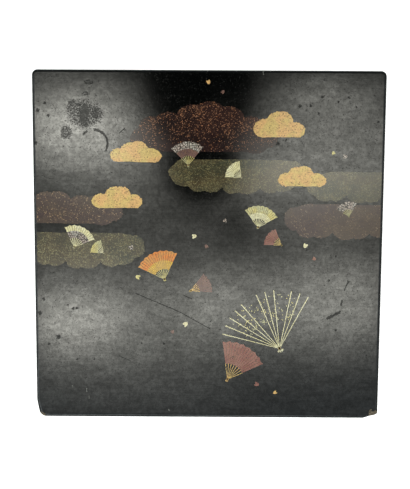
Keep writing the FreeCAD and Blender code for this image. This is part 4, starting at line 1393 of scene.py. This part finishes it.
def satin_metal(name, metal, dull, along, rough=0.26):
    """Turned or ground metal: fine lines across the given directions, dull in patches."""
    g = Graph(name)
    place = g.place()
    lines = g.noise(g.stretch(place, along), 1.0, detail=3.0)
    clouds = g.noise(place, 0.35, detail=4.0)
    base = g.blend(g.step(clouds, 0.42, 0.75), metal, dull)
    return g.surface(Base_Color=base, Metallic=1.0,
                     Roughness=g.plus(g.step(lines, 0.3, 0.7, rough, rough + 0.12),
                                      g.step(clouds, 0.5, 0.8, 0.0, 0.15)),
                     Normal=g.bump(lines, 0.012))


COPPER = patinated_copper()
BRASS = satin_metal("brass", colour(0.78, 0.55, 0.24), colour(0.42, 0.27, 0.10), (0.3, 5.0, 0.3))
STEEL = satin_metal("steel", colour(0.52, 0.53, 0.54), colour(0.30, 0.29, 0.28), (4.0, 0.25, 4.0),
                    0.22)
print("copper, brass and steel")

# %% [markdown]
# ## The water dropper
#
# A round metal drum with one small hole in its middle and a spout at the rim: a finger on the hole
# holds the water, and lets it go drop by drop. Its top is cast with the sixteen petals of an open
# chrysanthemum, an old pattern for this piece. The drum is one turned profile, and the petals are
# raised afterwards by lifting its points in waves around the axis.

# %% Water dropper
PETALS = 16
PETAL_RISE, PETAL_FROM, PETAL_TO = 0.35, 5.5, 17.5
# How far back the notches between the petals' tips reach, and the groove around the petals.
PETAL_NOTCH, GROOVE_WIDTH, GROOVE_DEPTH = 1.6, 0.6, 0.15
# The shoulder between the side and the top: its radius, and the steps of its curve.
SHOULDER, SHOULDER_STEPS = 4.0, 8
# How far the field of the petals lies below the top, and the radii at which it has points.
FIELD_DROP = 0.42
FIELD_RADII = (18.6, 18.2, 17.8, 17.0, 16.0, 14.5, 13.0, 11.5, 10.0, 8.5, 7.0, 6.0, 5.4)
shell_low, shell_high = corners_of("dropper_shell")
DROPPER_MIDDLE = (shell_low + shell_high) / 2
DROPPER_RADIUS = (shell_high.x - shell_low.x) / 2


def build_dropper():
    base, height = shell_low.z, shell_high.z - shell_low.z
    rim = DROPPER_RADIUS
    profile = [(0.0, rim - 1.2), (0.0, rim - 0.5), (0.5, rim - 0.1), (1.6, rim), (2.2, rim - 0.35),
               (2.8, rim), (height - 5.4, rim), (height - 4.8, rim - 0.3), (height - 4.2, rim)]
    for step in range(1, SHOULDER_STEPS + 1):
        turn = math.radians(90 * step / SHOULDER_STEPS)
        profile.append((height - SHOULDER + (SHOULDER - 0.4) * math.sin(turn),
                        rim - SHOULDER + SHOULDER * math.cos(turn)))
    profile += [(height - FIELD_DROP, radius) for radius in FIELD_RADII]
    profile += [(height - 0.1, 5.0), (height, 4.4), (height, 3.4), (height - 0.3, 2.8),
                (height - 0.5, 1.7), (height - 0.6, 1.2), (height - 2.0, 1.2),
                (height - 2.0, rim - 4.4), (height - 6.0, rim - 1.2), (0.0, rim - 1.2)]
    centre = (DROPPER_MIDDLE.x, DROPPER_MIDDLE.y, base)
    bm = turned(profile, centre, along="Z", steps=PETALS * 8)
    top = base + height
    for vert in bm.verts:
        offset = vert.co.xy - DROPPER_MIDDLE.xy
        radius = offset.length
        if vert.co.z < top - 0.5 or not PETAL_FROM < radius < PETAL_TO + GROOVE_WIDTH:
            continue
        turn = math.atan2(offset.y, offset.x) * PETALS / 2
        tip = PETAL_TO - PETAL_NOTCH * abs(math.cos(turn)) ** 3
        wave = abs(math.sin(turn)) ** 0.6
        vert.co.z += PETAL_RISE * wave if radius < tip else -GROOVE_DEPTH
    finish_piece("dropper_drum", bm, COPPER, "water_dropper",
                 ["dropper_shell"])


def build_spout():
    low, high = corners_of("dropper_spout")
    foot, height = (high.x - low.x) / 2, high.z - low.z
    profile = [(0.0, 1.3), (0.0, foot), (0.3, foot), (0.7, foot - 0.35),
               (height - 0.7, foot - 0.55), (height - 0.3, foot - 0.45),
               (height - 0.05, foot - 0.65), (height, 1.75), (height - 0.1, 1.4),
               (height - 0.4, 1.3), (0.0, 1.3)]
    middle = (low + high) / 2
    bm = turned(profile, (middle.x, middle.y, low.z), along="Z", steps=28)
    finish_piece("spout", bm, COPPER, "water_dropper", ["dropper_spout"])


build_dropper()
build_spout()
softened("dropper_base", 0.3, COPPER, "water_dropper", 2)

# %% [markdown]
# ## Bamboo, horn and hair
#
# A brush shaft is a thin bamboo culm. Its skin is hard and shiny, with fine fibres along it and a
# low ring at each joint, where the colour darkens. The bead at its end is horn. The hair is bound
# into a brass ferrule and draws together in a point.

# %% Brush materials


def bamboo(name, joints):
    g = Graph(name)
    place = g.place()
    _, along, _ = g.parts(place)
    fibre = g.noise(g.stretch(place, (3.2, 0.05, 3.2)), 1.0, detail=4.0)
    clouds = g.noise(g.stretch(place, (0.3, 0.05, 0.3)), 1.0, detail=3.0)
    base = g.blend(g.step(fibre, 0.3, 0.7), colour(0.30, 0.155, 0.055), colour(0.52, 0.33, 0.14))
    base = g.blend(g.step(clouds, 0.5, 0.8, 0.0, 0.5), base, colour(0.20, 0.09, 0.03))
    ring = 0.0
    for joint in joints:
        away = g.math("ABSOLUTE", g.minus(along, joint))
        ring = g.larger(ring, g.step(away, 2.4, 0.3))
    base = g.blend(g.times(ring, 0.75), base, colour(0.10, 0.042, 0.016))
    return g.surface(Base_Color=base, Roughness=g.step(fibre, 0.3, 0.7, 0.3, 0.42),
                     Normal=g.bump(fibre, 0.04), Coat_Weight=0.3, Coat_Roughness=0.2)


def horn():
    g = Graph("horn")
    place = g.place()
    bands = g.noise(g.stretch(place, (0.5, 1.6, 0.5)), 0.7, detail=4.0)
    base = g.blend(g.step(bands, 0.35, 0.65), colour(0.02, 0.011, 0.008),
                   colour(0.13, 0.065, 0.035))
    return g.surface(Base_Color=base, Roughness=0.16, Normal=g.bump(bands, 0.01),
                     Coat_Weight=0.4, Coat_Roughness=0.08)


def brush_hair():
    g = Graph("brush_hair")
    place = g.place()
    _, along, _ = g.parts(place)
    strands = g.noise(g.stretch(place, (5.5, 0.12, 5.5)), 1.0, detail=3.0)
    base = g.blend(g.step(strands, 0.3, 0.7), colour(0.10, 0.05, 0.022), colour(0.42, 0.26, 0.13))
    base = g.blend(g.step(along, 48.0, 58.0, 0.0, 0.85), base, colour(0.025, 0.02, 0.018))
    return g.surface(Base_Color=base, Roughness=0.5, Sheen_Weight=0.25, Sheen_Roughness=0.4,
                     Normal=g.bump(strands, 0.15))


SHAFT_JOINTS = (-66.0, -12.0)
CAP_JOINT = 58.0
BAMBOO = bamboo("bamboo", (*SHAFT_JOINTS, CAP_JOINT))
HORN = horn()
HAIR = brush_hair()
print("bamboo, horn and hair")

# %% [markdown]
# ## The brushes
#
# Every part of a brush is turned about the same axis, so each is one half outline and a spin. The
# shaft swells a little at its joints. The tuft is turned too, and then its points are pushed in
# and out around the axis, which parts the outline into locks of hair. The cap is a bamboo tube
# with a real bore, closed at its far end, so nothing is hollow only in name.

# %% Brushes
LOCKS = 24
# How far the locks sway, how deep the grooves between them are, and the share of the tuft's length
# that is bound in the ferrule and stays round.
LOCK_SWAY, LOCK_GROOVE, BOUND = 0.14, 0.16, 0.18
# The swelling at a bamboo joint: steps along the shaft, and how far each stands out.
JOINT_RING = [(-3.0, 0.0), (-1.2, 0.12), (-0.35, 0.2), (0.0, -0.12), (0.4, 0.12), (2.0, 0.0)]


def axis_of(node):
    """The place, in x and z, of a node's own axis along Y."""
    low, high = corners_of(node)
    return (low.x + high.x) / 2, (low.z + high.z) / 2


def ends_of(node):
    """Where a node begins and ends along Y."""
    low, high = corners_of(node)
    return low.y, high.y


def turned_piece(name, node, profile, material, body, steps=40, x_z=None):
    """Turn a profile of (y, radius) about a node's own axis along Y, and let it stand for it."""
    x, z = x_z or axis_of(node)
    bm = turned(profile, (x, 0.0, z), steps=steps)
    finish_piece(name, bm, material, body, [node])


def joint_rings(start, end, radius, joints):
    """A bamboo outline from one end to the other, with a low swelling at each joint."""
    profile = [(start, radius)]
    for joint in joints:
        profile += [(joint + place, radius + rise) for place, rise in JOINT_RING]
    return profile + [(end, radius)]


def build_brush(number):
    brush = f"brush_{number}"
    x_z = axis_of(f"{brush}_cap")
    low, high = ends_of(f"{brush}_shaft")
    ferrule_low, ferrule_high = ends_of(f"{brush}_ferrule")
    radius = 3.55
    shaft = [(low, 0.0)] + joint_rings(low, ferrule_low, radius, SHAFT_JOINTS)
    shaft += [(ferrule_low, 3.3), (high, 3.3), (high, 0.0)]
    turned_piece(f"{brush}_culm", f"{brush}_shaft", shaft, BAMBOO, brush, x_z=x_z)
    bead_low, bead_high = ends_of(f"{brush}_bead")
    bead = [(bead_low, 0.0), (bead_low, 2.0), (bead_low + 0.25, 3.2), (bead_low + 0.9, 4.05),
            (bead_low + 1.7, 4.2), (bead_low + 2.3, 3.9), (bead_low + 2.5, 3.65),
            (bead_high, 3.6), (bead_high, 0.0)]
    turned_piece(f"{brush}_horn_bead", f"{brush}_bead", bead, HORN, brush, x_z=x_z)
    outer, groove = 4.55, 4.3
    ferrule = [(ferrule_low, 3.32), (ferrule_low, outer - 0.2), (ferrule_low + 0.3, outer)]
    for line in (2.0, 2.9, 6.4):
        spot = ferrule_low + line
        ferrule += [(spot - 0.25, outer), (spot, groove), (spot + 0.25, outer)]
    ferrule += [(ferrule_high - 0.5, outer), (ferrule_high, outer - 0.45), (ferrule_high, 3.75),
                (ferrule_low + 4.2, 3.75), (ferrule_low + 4.0, 3.32), (ferrule_low, 3.32)]
    turned_piece(f"{brush}_brass_ferrule", f"{brush}_ferrule", ferrule, BRASS, brush,
                 x_z=x_z)
    root, tip = ends_of(f"{brush}_hair")
    build_hair(brush, root, tip, x_z)
    build_cap(brush, x_z)


def build_hair(brush, root, tip, x_z):
    shares = [(0.0, 0.0), (0.0, 0.93), (0.16, 0.93), (0.20, 0.97), (0.27, 1.0), (0.36, 0.99),
              (0.46, 0.93), (0.56, 0.83), (0.66, 0.69), (0.76, 0.51), (0.85, 0.33), (0.92, 0.18),
              (0.97, 0.08), (1.0, 0.0)]
    length, radius = tip - root, 3.65
    profile = [(root + length * along, radius * share) for along, share in shares]
    bm = turned(profile, (x_z[0], 0.0, x_z[1]), steps=LOCKS * 4)
    for vert in bm.verts:
        offset = Vector((vert.co.x - x_z[0], 0.0, vert.co.z - x_z[1]))
        along = (vert.co.y - root) / length
        if along < BOUND or offset.length < 0.05:
            continue
        turn = math.atan2(offset.z, offset.x)
        lock = noise.noise(Vector((math.cos(turn) * 5, math.sin(turn) * 5, along * 0.7)))
        fine = 0.5 + 0.5 * math.cos(turn * LOCKS + 2.5 * lock)
        push = LOCK_SWAY * lock - LOCK_GROOVE * fine * min(along * 3, 1)
        vert.co += offset.normalized() * push
    finish_piece(f"{brush}_tuft", bm, HAIR, brush, [f"{brush}_hair"])


def build_cap(brush, x_z):
    low, high = ends_of(f"{brush}_cap")
    outer, bore = 5.35, 4.75
    profile = [(low + 0.3, bore), (low, bore + 0.15), (low, outer - 0.2), (low + 0.3, outer)]
    profile += joint_rings(low + 0.3, high - 0.6, outer, (CAP_JOINT,))[1:]
    profile += [(high - 0.15, outer - 0.25), (high, outer - 0.8), (high, 0.0), (high - 2.0, 0.0),
                (high - 2.0, bore), (low + 0.3, bore)]
    turned_piece(f"{brush}_tube", f"{brush}_cap", profile, BAMBOO, f"{brush}_cap",
                 x_z=x_z)


for number in (1, 2):
    build_brush(number)

# %% [markdown]
# ## The awl, the knife and the ink stick
#
# Both tools have a lacquered handle between a brass pommel and a brass collar. The awl's spike is
# a long cone, and the knife's blade is ground from a flat bar, so its softened CAD form serves.
# The ink stick is pressed soot and glue: matt and deep black, with worn edges and a plain sunken
# panel.

# %% Tools


def pressed_ink():
    g = Graph("pressed_ink")
    place = g.place()
    _, along, _ = g.parts(place)
    grain = g.noise(place, 2.0, detail=4.0)
    cloud = g.noise(place, 0.25, detail=4.0)
    ground_end = g.step(g.plus(along, g.times(cloud, 6.0)), -33.0, -36.5)
    base = g.blend(g.step(cloud, 0.35, 0.7), colour(0.011, 0.011, 0.012),
                   colour(0.028, 0.027, 0.027))
    base = g.blend(ground_end, base, colour(0.007, 0.007, 0.009))
    return g.surface(Base_Color=base, Roughness=g.mix(ground_end, 0.48, 0.2),
                     Normal=g.bump(grain, 0.03))


INK = pressed_ink()


def tool_handle(tool, waist):
    """A lacquered handle with a slight waist, and its pommel and collar."""
    low, high = ends_of(f"{tool}_handle")
    radius = 4.7
    handle = [(low, 0.0), (low, radius - 0.25), (low + 0.4, radius)]
    for step in range(1, 12):
        along = step / 12
        drawn_in = waist * math.sin(math.pi * along) ** 2
        handle.append((low + (high - low) * along, radius - drawn_in))
    handle += [(high - 0.4, radius), (high, radius - 0.25), (high, 2.05), (high - 18.5, 2.05),
               (high - 18.6, 0.0)]
    turned_piece(f"{tool}_grip", f"{tool}_handle", handle, TRAY, tool,
                 x_z=axis_of(f"{tool}_pommel"))
    low, high = ends_of(f"{tool}_pommel")
    pommel = [(low, 0.0), (low, 1.4), (low + 0.3, 2.6), (low + 0.9, 3.9), (low + 1.7, 4.8),
              (low + 2.3, 4.95), (low + 2.8, 4.75), (low + 3.1, 4.55), (high - 0.3, 4.8),
              (high, 4.75), (high, 0.0)]
    turned_piece(f"{tool}_cap", f"{tool}_pommel", pommel, BRASS, tool)
    low, high = ends_of(f"{tool}_collar")
    collar = [(low, 2.0), (low, 4.65), (low + 0.4, 4.72), (low + 1.0, 4.4), (low + 1.4, 4.4),
              (low + 1.9, 4.45), (high - 1.0, 3.9), (high - 0.6, 4.05), (high - 0.1, 3.8),
              (high, 3.5), (high, 2.0), (low, 2.0)]
    turned_piece(f"{tool}_ring", f"{tool}_collar", collar, BRASS, tool,
                 x_z=axis_of(f"{tool}_pommel"))


def build_spike():
    low, high = ends_of("awl_spike")
    start = corners_of("awl_handle")[1].y
    spike = [(low, 0.0), (low, 1.88), (start, 1.88), (start + 5.0, 1.95), (start + 5.0, 2.5),
             (start + 6.5, 2.45), (start + 30.0, 1.5), (start + 50.0, 0.55), (high - 1.0, 0.2),
             (high, 0.0)]
    turned_piece("awl_point", "awl_spike", spike, STEEL, "awl", steps=28,
                 x_z=axis_of("awl_pommel"))


def build_ink_stick():
    """The cake of ink: soft outer edges, and crisper ones around the sunk field on its top."""
    bm = copy_of("ink_stick")
    low, high = corners_of("ink_stick")

    def on_side(vert):
        return min(abs(vert.co.x - low.x), abs(vert.co.x - high.x),
                   abs(vert.co.y - low.y), abs(vert.co.y - high.y)) < NEAR

    field = [edge for edge in sharp_edges(bm) if not all(map(on_side, edge.verts))]
    bevel(bm, field, 0.12, 2)
    bevel(bm, [edge for edge in sharp_edges(bm) if all(map(on_side, edge.verts))], 0.5, 3)
    finish_piece("ink_stick_soft", bm, INK, "ink_stick", ["ink_stick"])


tool_handle("awl", 0.55)
tool_handle("knife", 0.3)
build_spike()
softened("knife_blade", 0.12, STEEL, "knife", 2)
build_ink_stick()
